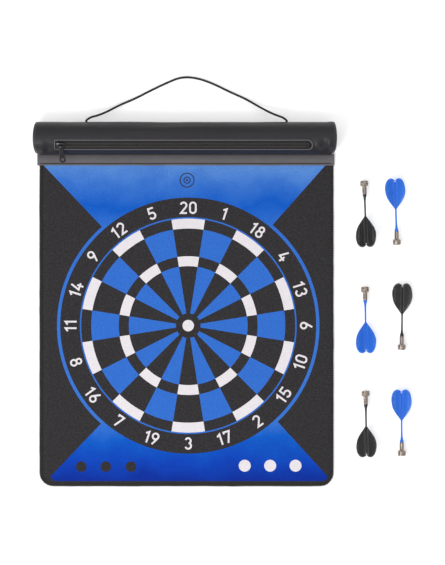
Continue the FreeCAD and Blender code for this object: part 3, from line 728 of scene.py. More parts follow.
def printed_face():
    """The printed felt, cut along every edge of the print so that each ink has its own faces."""
    points, links = [], []

    def trace(path, closed=True):
        start, count = len(points), len(path)
        points.extend(Vector(point[:]) for point in path)
        links.extend(ring_links(start, count)[:count if closed else -1])

    shift = Vector((DISC_X, 0))
    outline = [point - shift for point in closed_outline(FELT_HIGH.y, 7.0)]
    trace(outline)
    for radius in (BULL, OUTER_BULL):
        trace(circle(0, 0, radius, 80))
    for radius in TREBLE + DOUBLE + (FINE_LINE, NUMBER_RING, BLUE_RING):
        trace(circle(0, 0, radius, 240))
    for index in range(len(NUMBERS)):
        turn = radians((index + 0.5) * SECTOR)
        way = Vector((sin(turn), cos(turn)))
        trace(spaced((way * OUTER_BULL, way * DOUBLE[1]), 9.0), closed=False)
    for outer, ring in PANEL_EDGES.values():
        outer, ring = Vector(outer), Vector(ring)
        away = (outer - ring).normalized()
        beyond = outer + away * 12 if outer.y > 0 else outer
        trace(spaced((ring - away * 2, beyond), 8.0), closed=False)
    trace(spaced(((FELT_LOW.x, PRINT_TOP), (FELT_HIGH.x, PRINT_TOP)), 8.0), closed=False)
    trace(spaced(rounded_foot(FOOT_LEFT, FOOT_RIGHT, FOOT_Y, FOOT_RADIUS, 12), 9.0), closed=False)

    dial = numerals()
    marks = [([circle(*dot, 48)], BLACK) for dot in BLACK_DOTS]
    marks += [([circle(*dot, 48)], WHITE) for dot in WHITE_DOTS]
    marks += [([circle(*SIGN, radius, 56) for radius in pair], BLACK) for pair in SIGN_RINGS]
    marks.append(([circle(*SIGN, SIGN_DOT, 24)], BLACK))
    for shape in [shape for shapes in dial for shape in shapes] + [shape for shape, _ in marks]:
        for loop in shape:
            trace(loop)
    for x in range(-180, 190, 11):
        for y in range(-200, 220, 11):
            points.append(Vector((x + 2.0 * wave(x, y, size=9, seed=1),
                                  y + 2.0 * wave(x, y, size=9, seed=5))))

    flat, faces, middles = cut_flat(points, links, [[tuple(point) for point in outline]])
    inks = [ink_at(middle.x, middle.y, dial, marks) for middle in middles]
    top = FELT_HIGH.z
    solid = [(point.x + DISC_X, point.y, top + surface_lift(point.x, point.y)) for point in flat]
    piece = make("printed_felt", solid, faces, "board", "printed_felt",
                 [FELT_BLACK, FELT_WHITE, FELT_DIAL, FELT_FIELD], pick=inks)
    thicken(piece, FELT_HIGH.z - FELT_LOW.z - 0.1)
    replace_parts(piece, "mat_front_felt")


# ---------------------------------------------------------------- back felt and edge stitches

STITCH_PITCH = 3.1      # overlock stitches along the mat's edge
STITCH_REACH = 4.6      # how far they reach in from the edge
LOOP_THREAD = 0.3       # radius
# Sections through the stitches: how far in from the edge, how high, and how far along in pitches.
YARN_BED = ((STITCH_REACH, 1.02), (3.9, 1.14), (2.6, 1.22), (1.5, 1.14), (0.85, 0.98), (0.6, 0.75),
            (0.55, 0.5), (0.7, 0.25), (1.0, 0.06), (2.0, 0.01), (STITCH_REACH, 0.01))
LOOP_OVER = ((STITCH_REACH, 1.12, 0.0), (3.4, 1.38, 0.1), (2.0, 1.44, 0.24), (0.9, 1.36, 0.36),
             (0.0, 1.0, 0.44), (-0.35, 0.62, 0.5), (0.0, 0.32, 0.56), (1.6, 0.14, 0.7), (3.4, 0.13, 0.85))
LOOP_BACK = ((3.9, 1.25, 0.95), (2.4, 1.46, 0.8), (1.1, 1.42, 0.62), (0.1, 1.02, 0.5))
NEEDLE_LINE = ((1.02, 0.08), (1.24, 0.3), (1.27, 0.6), (1.05, 0.9))


def back_felt():
    """The backing felt, which shows when the board is turned over or rolled up."""
    outline = closed_outline(BACK_HIGH.y, 8.0)
    inner = [Vector((x + 3 * wave(x, y, size=9), y + 3 * wave(x, y, size=9, seed=4)))
             for x in range(-180, 185, 12) for y in range(-196, 216, 12)]
    border = [[tuple(point) for point in outline]]
    flat, faces, _ = cut_flat(outline + inner, ring_links(0, len(outline)), border)
    points = [(point.x, point.y, BACK_HIGH.z) for point in flat]
    piece = make("backing_felt", points, faces, "board", "felt_back", [FELT_BACK])
    thicken(piece, BACK_HIGH.z - BACK_LOW.z)
    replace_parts(piece, "mat_back_felt")


def follow(points, places):
    """Where each of some rising distances along an open path comes to: the place and the way ahead."""
    lengths = [(end - start).length for start, end in zip(points, points[1:])]
    leg, run = 0, 0.0
    for along in places:
        while run + lengths[leg] < along:
            run += lengths[leg]
            leg += 1
        ahead = (points[leg + 1] - points[leg]).normalized()
        yield along, points[leg] + ahead * (along - run), ahead


def path_length(points):
    return sum((end - start).length for start, end in zip(points, points[1:]))


def walk(path, pitch):
    """Even steps along an open path: each has its place, the way ahead and the way outward, on the right."""
    points = [Vector(point) for point in path]
    total = path_length(points)
    count = round(total / pitch)
    places = [min(index * total / count, total - 1e-6) for index in range(count + 1)]
    return [(at, ahead, Vector((ahead.y, -ahead.x))) for _, at, ahead in follow(points, places)]


def edge_stitches():
    """Overlock stitches round three sides: a bed of fluffy yarn, loops over the edge, and a needle line."""
    outline = mat_outline(0.0, BAND_HIGH.y, steps=24)

    def place(step, inset, height, ahead=0.0):
        """A point `inset` in from the wavy cut edge. Heights above 1 stand proud of the felt's top."""
        at, heading, outward = step
        rough = 0.4 * wave(at.x, at.y, size=16, seed=2.2) + 0.15 * wave(at.x, at.y, size=4, seed=8)
        flat = at + heading * ahead - outward * (inset + rough)
        top = FELT_HIGH.z + surface_lift(flat.x, flat.y)
        return flat.x, flat.y, max(0.0, top * min(height, 1.0) + max(0.0, height - 1.0))

    rows = []
    for index, step in enumerate(walk(outline, STITCH_PITCH / 4)):
        swelling = 0.10 * sin(index * pi / 2 + 0.6)
        rows.append([place(step, inset, height + (swelling if height > 1.1 else 0))
                     for inset, height in YARN_BED])
    bed = Batch()
    bed.grid(rows, close_across=True)
    bed.cap(rows)
    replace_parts(bed.make("edge_yarn_bed", "board", "edge_thread", EDGE_THREAD), "edge_overlock_thread")

    loops, needle = Batch(), Batch()
    for number, step in enumerate(walk(outline, STITCH_PITCH)[:-1]):
        shift = 0.25 * wave(number, size=2.3, seed=3)
        for shape in (LOOP_OVER, LOOP_BACK):
            line = [place(step, inset, height, (part + shift) * STITCH_PITCH)
                    for inset, height, part in shape]
            loops.tube(line, LOOP_THREAD * (1 + 0.25 * wave(number, size=1.7, seed=6)), sides=6)
        line = [place(step, STITCH_REACH + 0.1, height, part * STITCH_PITCH)
                for height, part in NEEDLE_LINE]
        needle.tube(line, 0.24, sides=6)
    loops.make("edge_loops", "board", "edge_thread", EDGE_LOOPS)
    needle.make("edge_needle_line", "board", "edge_thread", EDGE_LOOPS)


# ---------------------------------------------------------------- binding strip

STRIP_ROWS_IN = (2.7, 14.3)     # its two stitch rows, from its lower edge
STRIP_STITCH = (3.1, 2.8, 0.44) # pitch, length and thread radius
STITCH_DIP = ((-0.5, -0.27), (-0.38, 0.05), (0.0, 0.15), (0.38, 0.05), (0.5, -0.27))


def strip_sway(x):
    """The strip's lower edge isn't quite straight."""
    return wave(x, size=30, seed=9)


def strip_height(x, part, puff):
    """The strip's relief: pressed down along both stitch rows, with puckers beside them, soft between."""
    across = part * (STRIP_HIGH.y - STRIP_LOW.y)
    low_row, high_row = STRIP_ROWS_IN
    press = sum(exp(-((across - row) / 0.8) ** 2) for row in STRIP_ROWS_IN)
    pucker = sum(exp(-((across - row) / 1.8) ** 2) for row in STRIP_ROWS_IN)
    soft = sin(pi * min(1.0, max(0.0, (across - low_row) / (high_row - low_row))))
    ripple = 0.10 * pucker * sin(2 * pi * x / STRIP_STITCH[0])
    dent = 0.12 * wave(x, across * 2, size=17, seed=5)
    return puff * soft + ripple + dent * soft - 0.34 * press


def strip_face(name, node, puff, relief):
    """One ply of the strip, with a rolled lower edge; `relief` is 0 for the flat ply underneath."""
    low, high = box_mm(node)
    parts = [0, 0.012, 0.03, 0.055, 0.08] + [0.08 + 0.92 * step / 26 for step in range(1, 27)]
    rows = []
    for x in even(high.x, low.x, 1.1):
        slump = 0.3 * (1 - smoothstep(0, 2.0, min(x - low.x, high.x - x)))
        row = []
        for part in parts:
            y = low.y + (high.y - low.y) * part + 0.35 * strip_sway(x) * (1 - part)
            roll = 0.55 * (1 - smoothstep(0.0, 0.05, part))
            row.append((x, y, high.z + (strip_height(x, part, puff) - roll - slump) * relief))
        rows.append(row)
    batch = Batch()
    batch.grid(rows)
    # The strip's leatherette is painted paler than the pouch's, as painted light.
    piece = batch.make(name, "board", "strip_leatherette", STRIP_LEATHER_PAINTED_LIGHT)
    thicken(piece, high.z - low.z)
    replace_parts(piece, node)


def strip_stitches():
    """Both rows of lock stitches through the strip: each stitch dips into its holes."""
    pitch, length, radius = STRIP_STITCH
    count = round((STRIP_HIGH.x - STRIP_LOW.x - 8) / pitch)
    batch = Batch()
    for number, row in enumerate(STRIP_ROWS_IN):
        for stitch in range(count):
            x = STRIP_LOW.x + 4 + (stitch + 0.5) * pitch + 0.12 * wave(stitch, size=1.4, seed=number)
            y = STRIP_LOW.y + row + 0.3 * strip_sway(x) * (1 - number)
            tilt = 0.24 * wave(stitch, size=2.1, seed=4)
            batch.tube([(x + along * length, y + tilt * along, STRIP_HIGH.z + lift)
                        for along, lift in STITCH_DIP], radius, sides=8)
    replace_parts(batch.make("strip_stitches", "board", "sewing_thread", SEAM_THREAD), "strip_stitching")


# ---------------------------------------------------------------- pouch

WINDOW = (-168.3, 161.0)        # the zip's opening, along X
WINDOW_HALF = radians(16.9)
WINDOW_ROUND = 5.1              # its right end is rounded, its left end is square
WINDOW_BANDS = 10               # faces across it
END_LEAN = 4.4                  # the pouch's ends stand further out at the top than at the seam
SKIN = 1.4                      # doubled leatherette
# Where the skin is pushed in or folded out: along the pouch, round it in degrees, their reach, the depth.
SKIN_DENTS = ((184.0, 20, 3.0, 24, 1.7), (177.0, 30, 4.0, 24, -2.0), (169.0, 36, 3.6, 16, 1.1),
              (190.5, -50, 4.0, 50, 1.0), (180.0, 78, 7.0, 10, -0.6), (-187.0, 38, 5.0, 26, 0.8),
              (-178.5, 52, 5.0, 24, -1.0), (-172.5, 82, 7.0, 16, 0.6), (-150.0, 78, 9.0, 10, -0.7),
              (-60.0, -28, 26.0, 10, 0.45), (-20.0, -55, 40.0, 12, -0.5), (60.0, 72, 40.0, 8, -0.5),
              (90.0, -22, 30.0, 9, 0.4))
# The end disc's rings, from its seam to its middle: share of the radius, and how far it domes outward.
DISC_DOME = ((0.985, -0.9), (1.0, -0.3), (0.985, 0.3), (0.94, 0.55), (0.86, 0.5), (0.72, 0.9),
             (0.5, 1.35), (0.25, 1.6), (0.02, 1.65))


def tube_point(x, angle, lift=0.0):
    """A point of the pouch: angles run from the top, down the board's side and round beneath."""
    across, up = -sin(angle), cos(angle)
    radius = TUBE_RADIUS + lift
    if across < 0 and up < 0:   # the corner at the crease
        radius /= (across ** 12 + up ** 12) ** (1 / 12)
    return x, TUBE_Y + radius * across, TUBE_Z + radius * up


def lean(x, angle):
    """How far a point moves along the pouch because its end leans outward at the top."""
    inward = END_LEAN * min(1.0, 1 - cos(angle))
    at_left = 1 - smoothstep(0, 22, x - COVER_LOW.x)
    at_right = 1 - smoothstep(0, 22, COVER_HIGH.x - x)
    return (inward + 0.8) * at_left - inward * at_right


def swell(x, angle):
    """How far the skin stands proud of the plain tube, or sinks below it."""
    turn = (degrees(angle) + 180) % 360 - 180
    at_zip = smoothstep(-176, -170, x) * smoothstep(-166, -158, -x)
    at_zip *= 1 - smoothstep(20, 34, abs(turn - ZIP_TURN))
    soft = 0.5 * wave(x, turn * 0.9, size=62, seed=4.4) + 0.35 * wave(x * 0.7, turn, size=30, seed=9.1)
    soft += 0.12 * wave(x, turn * 0.5, size=11, seed=1.7)
    for at_x, at_turn, wide, tall, depth in SKIN_DENTS:
        soft += depth * exp(-((x - at_x) / wide) ** 2 - ((turn - at_turn) / tall) ** 2)
    grounded = smoothstep(0, 45, 170 - abs(turn)) * (1 - smoothstep(80, 100, turn) * 0.7)
    return soft * (1 - 0.85 * at_zip) * grounded


def cover():
    """The pouch's skin, open at the zip's window."""
    window = [ZIP_ANGLE - WINDOW_HALF * cos(pi * part / WINDOW_BANDS) for part in range(WINDOW_BANDS + 1)]
    beyond = even(degrees(window[-1]), degrees(window[0]) + 360, 3.4)[1:-1]
    angles = window + [radians(value) for value in beyond]
    bend = WINDOW[1] - WINDOW_ROUND
    before, along = even(COVER_LOW.x, WINDOW[0], 2.0), even(WINDOW[0], bend, 2.4)
    first, last = len(before) - 1, len(before) + len(along) - 2
    rows = []
    for number, x in enumerate(before + along[1:] + even(bend, COVER_HIGH.x, 1.8)[1:]):
        bend_share = max(0.0, 1 - (number - last) / 6) if number >= last else 0.0
        row = []
        for part, angle in enumerate(angles):
            bulge = WINDOW_ROUND * sin(pi * part / WINDOW_BANDS) if part < WINDOW_BANDS else 0.0
            row.append(tube_point(x + bulge * bend_share + lean(x, angle), angle, swell(x, angle)))
        rows.append(row)
    batch = Batch()
    batch.grid(rows, close_across=True, hole=lambda row, band: first <= row < last and band < WINDOW_BANDS)
    piece = batch.make("pouch_skin", "header", "pouch_leatherette", POUCH_LEATHER)
    thicken(piece, SKIN)
    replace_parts(piece, "header_cover")


def end_disc(side, x, outward):
    """A padded end disc, domed a little, with a corded welt round its seam."""
    turns = [radians(value) for value in even(0, 360, 5)[:-1]]
    count = len(turns)
    name = "end_disc_" + side
    middle = (lean(x, 0) + lean(x, pi)) / 2
    rows = []
    for share, dome in DISC_DOME:
        ring = []
        for turn in turns:
            _, y, z = tube_point(x, turn, swell(x, turn))
            y, z = TUBE_Y + (y - TUBE_Y) * share, TUBE_Z + (z - TUBE_Z) * share
            at = x + middle + (lean(x, turn) - middle) * share ** 2 + 0.5 * wave(y, z, size=14, seed=outward)
            ring.append((at + outward * dome, y, max(0.02, z)))
        rows.append(ring)
    disc = Batch()
    disc.grid(rows, close_across=True)
    hub = len(disc.points)
    disc.points.append(Vector(rows[-1][0]).lerp(Vector(rows[-1][count // 2]), 0.5))
    disc.faces += [(one, two, hub) for one, two in ring_links(hub - count, count)]
    piece = disc.make(name, "header", "pouch_leatherette", POUCH_LEATHER)
    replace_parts(piece, "header_end_" + side)
    path = []
    for turn in turns:
        at, y, z = tube_point(x + lean(x, turn), turn, swell(x, turn) - 0.7)
        path.append((at + outward * 0.5, y, max(z, 0.75)))
    welt = Batch()
    welt.tube(path, 0.72, sides=8, closed=True)
    welt.make(name + "_welt", "header", "pouch_leatherette", POUCH_LEATHER)


def window_path(grow, lift, step):
    """A closed line round the window, so far outside its edge, on the skin."""
    half = WINDOW_HALF + grow / TUBE_RADIUS
    bend = WINDOW[1] - WINDOW_ROUND
    left, top, foot = WINDOW[0] - grow, ZIP_ANGLE - half, ZIP_ANGLE + half
    path = [(x, foot) for x in even(left, bend, step)]
    for turn in [radians(value) for value in even(90, -90, 12)[1:-1]]:
        path.append((bend + (WINDOW_ROUND + grow) * cos(turn), ZIP_ANGLE + half * sin(turn)))
    path += [(x, top) for x in even(bend, left, step)]
    path += [(left, angle) for angle in even(top, foot, step / TUBE_RADIUS)[1:-1]]
    return [tube_point(x, angle, swell(x, angle) + lift) for x, angle in path]


def window_edge():
    """The piped lip round the window, painted paler than the pouch as a highlight along the fold, and its
    top-stitching.
    """
    lip = Batch()
    lip.tube(window_path(1.2, -0.16, 2.2), 0.5, sides=10, closed=True)
    lip.make("window_lip", "header", "pouch_leatherette", LIP_LEATHER_PAINTED_HIGHLIGHT)
    stitches = Batch()
    line = [Vector(point) for point in window_path(3.4, 0.12, 2.9)]
    middle = Vector((0, TUBE_Y, TUBE_Z))
    for start, end in zip(line, line[1:] + line[:1]):
        if (end - start).length < 1.5:
            continue
        inward = ((middle - (start + end) / 2) * Vector((0, 1, 1))).normalized()
        path = [start.lerp(end, part) + inward * dip
                for part, dip in ((0.06, 0.35), (0.16, 0.04), (0.5, -0.08), (0.84, 0.04), (0.94, 0.35))]
        stitches.tube(path, 0.28, sides=8)
    piece = stitches.make("window_stitches", "header", "sewing_thread", WINDOW_THREAD)
    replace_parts(piece, "window_stitching")


def crease():
    """The ply that runs on from the strip into the pouch, where the header folds."""
    section = ((STRIP_HIGH.y - 2.2, 0.55), (STRIP_HIGH.y - 0.9, 0.5), (STRIP_HIGH.y + 0.1, 0.45),
               (COVER_LOW.y + 0.6, 0.5), (COVER_LOW.y + 1.6, 0.6))
    batch = Batch()
    batch.grid([[(x, y, z + 0.05 * wave(x, y, size=6)) for y, z in section]
                for x in even(COVER_LOW.x + 5, COVER_HIGH.x - 5, 4.0)])
    # The crease ply shares the strip's leatherette, painted paler as painted light.
    piece = batch.make("crease_ply", None, "strip_leatherette", STRIP_LEATHER_PAINTED_LIGHT)
    thicken(piece, 0.45)
    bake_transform(piece)


# ---------------------------------------------------------------- zip

COIL_PITCH = 1.25
COIL_ENDS = (-157.6, 155.2)
# One stitch of a seam: how far along, and how far out from the coil.
SEAM_DIP = ((0.1, -0.1), (0.5, 0.08), (1.3, 0.08), (1.75, -0.1))
SLIDER_LONG = 11.7
SLIDER_X = box_mm("slider_body")[0].x + SLIDER_LONG / 2
PULL_BAR = 23.9                 # the pull's bar, from the tube's axis
PULL_SKEW = 5                   # it hangs a little askew, as its eye is loose
PULL_SLOPE = 44                 # its slope down towards the board, in degrees
# The slider's bridge along X: place, height from the tube's axis, thickness as a radius.
BRIDGE = ((-4.2, 21.4, 1.15), (-3.9, 22.3, 0.9), (-3.4, 23.2, 0.72), (-2.7, 23.75, 0.62),
          (-1.8, PULL_BAR, 0.6), (1.8, PULL_BAR, 0.6), (2.7, 23.75, 0.62), (3.4, 23.2, 0.72),
          (3.9, 22.3, 0.9), (4.2, 21.4, 1.15))
PULL_EYE = ((-1.95, 0.9), (-2.1, 1.1), (-2.05, 1.35), (-1.8, 1.5), (1.8, 1.5), (2.05, 1.35), (2.1, 1.1),
            (1.95, 0.9), (-1.95, 0.9))


def zip_point(x, across, out):
    """A point in the zip's own frame: across it, up the slope, and out from the tube's axis."""
    flat, steep = cos(ZIP_ANGLE), sin(ZIP_ANGLE)
    return x, TUBE_Y + across * flat - out * steep, TUBE_Z + across * steep + out * flat


def zip_arc(x, arc_mm, radius):
    """The same, but curved with the tube: so many millimetres round from the zip's middle."""
    angle = arc_mm / TUBE_RADIUS
    return zip_point(x, radius * sin(angle), radius * cos(angle))


def zip_tape(row_name, side):
    """A woven tape."""
    node = "zipper_tape_" + row_name
    low, high = box_mm(node)
    rows = []
    for x in even(low.x, high.x, 2.2):
        row = []
        for arc_mm in even(0.62, 12.6, 0.8):
            ripple = 0.08 * wave(x, arc_mm, size=7, seed=3) * smoothstep(3, 6, arc_mm)
            row.append(zip_arc(x, side * arc_mm, 18.7 + ripple))
        rows.append(row)
    tape = Batch()
    tape.grid(rows)
    if side > 0:
        tape.faces = [tuple(reversed(face)) for face in tape.faces]
    piece = tape.make("tape_" + row_name, "header", "zip_tape", ZIP_TAPE)
    thicken(piece, 0.45)
    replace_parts(piece, node)


def zip_coil(row_name, side):
    """A coil of monofilament: each turn reaches in and back, and seams hold it to the tape."""
    name = "coil_" + row_name
    path = []
    for step in range(round((COIL_ENDS[1] - COIL_ENDS[0]) / COIL_PITCH) * 10):
        turn = 2 * pi * step / 10
        x = COIL_ENDS[0] + (step / 10 + 0.25 * side) * COIL_PITCH
        path.append(zip_arc(x, side * (1.72 - 1.08 * cos(turn)), 19.42 + 0.46 * sin(turn)))
    coil, seams = Batch(), Batch()
    coil.tube(path, 0.29, sides=6)
    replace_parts(coil.make(name, "header", "zip_coil", ZIP_COIL), "zipper_" + name)
    for arc_mm, radius in ((3.35, 18.9), (1.7, 19.95)):
        for x in even(COIL_ENDS[0], COIL_ENDS[1], 1.9)[:-1]:
            reach = side * (arc_mm + 0.1 * (-1) ** round(x))
            seams.tube([zip_arc(x + part, reach, radius + dip) for part, dip in SEAM_DIP], 0.16, sides=5)
    seams.make(name + "_seam", "header", "zip_tape", ZIP_SEAM)


def rounded_plate(half_long, halves, corner):
    """A closed outline, symmetric across: half-widths at its left, waist and right."""
    left, waist, right = halves
    upper = arc(-half_long + corner, left - corner, corner, 180, 90, 5) + [(0.0, waist)]
    upper += arc(half_long - corner, right - corner, corner, 90, 0, 5)
    return upper + [(x, -y) for x, y in reversed(upper)]


def slab(batch, outline, low, high, to_place, edge=0.25):
    """A flat plate with softened edges between two heights."""
    start, count = len(batch.points), len(outline)
    middle = sum((Vector(point) for point in outline), Vector((0, 0))) / count
    rows = []
    for amount, height in ((edge, low), (edge * 0.3, low + edge * 0.3), (0, low + edge), (0, high - edge),
                           (edge * 0.3, high - edge * 0.3), (edge, high)):
        inset = [Vector(point) + (middle - Vector(point)).normalized() * amount for point in outline]
        rows.append([to_place(*point, height) for point in inset])
    batch.grid(rows, close_across=True)
    batch.faces.append(tuple(reversed(range(start, start + count))))
    batch.faces.append(tuple(range(len(batch.points) - count, len(batch.points))))


def slider_shape():
    """The slider: two plates with a waist, flanges that hold the coils, and a bridge over the pull's bar."""
    metal = Batch()
    half = SLIDER_LONG / 2

    def place(x, across, out):
        return zip_point(SLIDER_X + x, across, out)

    outline = rounded_plate(half, (4.35, 4.15, 3.3), 1.7)
    slab(metal, outline, 20.6, 21.7, place)
    slab(metal, outline, 16.2, 17.3, place)
    for side in (-1, 1):
        flange = [(-half + 1.2, side * 4.3), (0.5, side * 4.15), (half - 1.0, side * 3.3),
                  (half - 1.2, side * 2.7), (0.4, side * 3.45), (-half + 1.2, side * 3.6)]
        slab(metal, flange if side < 0 else flange[::-1], 19.9, 20.9, place, edge=0.15)
    web = [(-half + 0.3, 0.28), (-half + 3.0, 0.28), (-half + 3.6, 0.0), (-half + 3.0, -0.28),
           (-half + 0.3, -0.28)]
    slab(metal, web, 17.0, 20.9, place, edge=0.08)
    metal.tube([place(x, 0, out) for x, out, _ in BRIDGE], [radius for _, _, radius in BRIDGE], sides=14)
    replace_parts(metal.make("slider_metal", "slider", "black_metal", LACQUER, crease_angle=50), "slider_body")


def pull_shape():
    """The pull: an eye round the slider's bar, and a tapered tab with an oval hole at its rounded end."""
    low, _ = box_mm("zipper_pull")
    bar = Vector(zip_point(SLIDER_X, 0, PULL_BAR))
    slope = turned(PULL_SLOPE, "X", 3) @ turned(PULL_SKEW, "Z", 3)
    foot = 0.5 - (bar.y - low.y) / cos(radians(PULL_SLOPE))
    neck, end = 2.5, 4.2
    outline = [(-neck, -0.9), (neck, -0.9), (neck + 0.1, -4.0), (end - 0.35, foot + 7.5)]
    outline += arc(0, foot + end, end, 0, -180, 16) + [(-end + 0.35, foot + 7.5), (-neck - 0.1, -4.0)]
    hole = arc(0, foot + end + 2.2, 1.6, 0, 180, 10) + arc(0, foot + end - 0.2, 1.9, 180, 360, 10)
    links = ring_links(0, len(outline)) + ring_links(len(outline), len(hole))
    flat, faces, _ = cut_flat([Vector(point) for point in outline + hole], links, [outline, hole])
    points = [bar + slope @ Vector((*point, 0.65)) for point in flat]
    tab = make("pull_tab", points, faces, "pull", "black_metal", [LACQUER], smooth=False)
    thicken(tab, 1.3)
    modify(tab, "BEVEL", width=0.3 * MM, segments=3, limit_method="ANGLE", angle_limit=radians(50))
    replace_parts(tab, "zipper_pull")
    eye = Batch()
    eye.lathe(PULL_EYE, Matrix.Translation(bar) @ slope.to_4x4() @ turned(90, "Y"), steps=32)
    eye.make("pull_eye", "pull", "black_metal", LACQUER, crease_angle=50)


# ---------------------------------------------------------------- carrying cord

CORD_ROUTE = (
    (-129.0, 264.3, 20.3), (-124.8, 268.3, 18.9), (-115.0, 270.6, 14.9), (-103.0, 275.4, 9.6),
    (-86.0, 284.6, 4.4), (-66.5, 292.6, 1.6), (-47.0, 302.8, 1.45), (-27.0, 312.4, 1.45),
    (-6.5, 321.0, 1.45), (14.5, 319.2, 1.45), (34.5, 312.0, 1.45), (54.5, 302.0, 1.45),
    (76.0, 292.6, 1.6), (94.0, 282.0, 4.9), (108.5, 274.2, 10.4), (118.6, 270.2, 15.4),
    (125.2, 267.9, 18.9), (129.0, 264.3, 20.3),
)
CORD_RADIUS = 1.45
CORD_SIDES = 24
BRAID = (4, 2.6)                # strands each way round, and millimetres from one crossing to the next


def route_line():
    """Points along the cord's NURBS, in metres."""
    data = bpy.data.curves.new("cord_line", "CURVE")
    data.dimensions = "3D"
    data.resolution_u = 24
    spline = data.splines.new("NURBS")
    spline.points.add(len(CORD_ROUTE) - 1)
    for point, (x, y, z) in zip(spline.points, CORD_ROUTE):
        point.co = (x * MM, y * MM, z * MM, 1)
    spline.order_u = 3
    spline.use_endpoint_u = True
    holder = bpy.data.objects.new("cord_line", data)
    mesh = bpy.data.meshes.new_from_object(holder)
    line = [vertex.co.copy() for vertex in mesh.vertices]
    bpy.data.objects.remove(holder)
    return line


def carrying_cord():
    """A soft braided cord, with its strands crossing each other in the mesh."""
    line = route_line()
    points = [point / MM for point in line]
    strands, pitch = BRAID
    rows = []
    side_way = Vector((0, 0, 1))
    for along, at, heading in follow(points, even(0, path_length(points) - 0.01, 0.3)):
        side_way = (side_way - heading * side_way.dot(heading)).normalized()
        other = heading.cross(side_way)
        twist = pi * along / pitch
        row = []
        for step in range(CORD_SIDES):
            turn = 2 * pi * step / CORD_SIDES
            crossing = max(abs(cos(strands * turn / 2 + twist)), abs(cos(strands * turn / 2 - twist)))
            radius = CORD_RADIUS - 0.22 + 0.24 * crossing ** 2
            row.append(at + (side_way * cos(turn) + other * sin(turn)) * radius)
        rows.append(row)
    batch = Batch()
    batch.grid(rows, close_across=True)
    batch.cap(rows)
    piece = batch.make("carrying_cord", "handle", "cord", CORD)
    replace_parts(piece, "handle_cord")
    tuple(line[0][:])
    path_length(line)


def cord_roots():
    """The ends of the cord where they come out of the pouch, rounded so that the handle can swing."""
    round_end = [(CORD_RADIUS * sin(turn), CORD_RADIUS * cos(turn))
                 for turn in [pi / 2 * part / 6 for part in range(6)]]
    profile = [(-4.5, 0), (-4.5, CORD_RADIUS)] + round_end + [(CORD_RADIUS, 0)]
    for name, place in (("cord_root_left", CORD_ROUTE[0]), ("cord_root_right", CORD_ROUTE[-1])):
        batch = Batch()
        batch.lathe(profile, Matrix.Translation(place) @ turned(-90, "X"), steps=20)
        batch.make(name, "header", "cord", CORD)


# ---------------------------------------------------------------- darts

DART_LONG = 85.0
FLIGHT_FROM, FLIGHT_WIDEST, FLIGHT_RADIUS = 45.5, 71.0, 18.15
BARREL_END, SHAFT = 17.3, 1.15
LOBE_REACH, NOTCH_DEPTH = 7.3, 3.4   # where each tail lobe is highest, and the notch between them
MAGNET_MIDDLE = 1.7             # from the dart's front face
RIM_RADIUS = 0.45
NET_PITCH, BAR_WIDE = 2.4, 0.68 # a vane's net, with diamond holes
DART_TILT = 6.54                # degrees: head and vane tips both touch the surface
# Each dart: which plastic, how far it leans to a side in degrees,
# and 1 or -1 for which way along the board its head points.
DARTS = {"dart_1": ("black", 1.8, 1), "dart_2": ("blue", -2.0, -1), "dart_3": ("blue", 1.0, 1),
         "dart_4": ("black", 0.5, -1), "dart_5": ("black", 0.8, 1), "dart_6": ("blue", -0.5, -1)}
# Turned profiles of the plastic shaft and the plated head: height from the front face, and radius.
SHAFT_PROFILE = ((BARREL_END - 2.0, 0), (BARREL_END - 2.0, 1.4), (BARREL_END + 0.05, 1.4),
                 (BARREL_END + 0.05, 2.35), (BARREL_END + 0.25, 2.5), (19.6, 2.5), (19.9, 2.25),
                 (20.3, 1.95), (22.9, 1.5), (25.9, SHAFT + 0.1), (31.9, SHAFT),
                 (DART_LONG - 4.6, SHAFT - 0.1), (DART_LONG - 3.9, 0.7), (DART_LONG - 3.7, 0))
HEAD_PROFILE = ((3.2, 0), (3.2, 4.4), (0.35, 4.4), (0.0, 4.5), (0.0, 5.0), (0.18, 5.28), (0.5, 5.4),
                (1.6, 5.4), (1.72, 5.32), (1.84, 5.4), (4.4, 5.4), (4.52, 5.32), (4.64, 5.4),
                (5.75, 5.4), (6.05, 5.28), (6.25, 5.0), (6.6, 4.2), (7.15, 3.35), (7.8, 2.95),
                (8.6, 2.85), (15.9, 2.85), (16.0, 2.76),
                (16.1, 2.85), (17.1, 2.85), (17.3, 2.7), (17.3, 1.5), (12.0, 1.45), (12.0, 0))


def leaf_reach(height):
    """How far a vane's outer edge is from the dart's axis: a straight-sided front, then a round lobe."""
    if height < FLIGHT_WIDEST:
        part = max(0.0, (height - FLIGHT_FROM) / (FLIGHT_WIDEST - FLIGHT_FROM))
        return SHAFT + (FLIGHT_RADIUS - SHAFT) * sin(pi / 2 * part) ** 1.15
    part = min(1.0, (height - FLIGHT_WIDEST) / (DART_LONG - FLIGHT_WIDEST))
    return LOBE_REACH + (FLIGHT_RADIUS - LOBE_REACH) * sqrt(1 - part ** 2)


def vane_floor(height):
    """Where a vane begins: at the shaft, or out at the notch between the tail's lobes."""
    part = max(0.0, height - (DART_LONG - NOTCH_DEPTH)) / NOTCH_DEPTH
    return 0.6 + (LOBE_REACH - 0.6) * (1 - sqrt(1 - min(1.0, part) ** 2))


def bar(batch, start, end, face, thick):
    """A straight bar of a vane's net, from one point to another."""
    across = (end - start).normalized().cross(face) * BAR_WIDE / 2
    out = face * thick / 2
    section = (across - out, -across - out, out - across, across + out)
    points = [at + corner for at in (start, end) for corner in section]
    sides = [(one, two, two + 4, one + 4) for one, two in ring_links(0, 4)]
    batch.add(points, [(3, 2, 1, 0), (4, 5, 6, 7)] + sides)


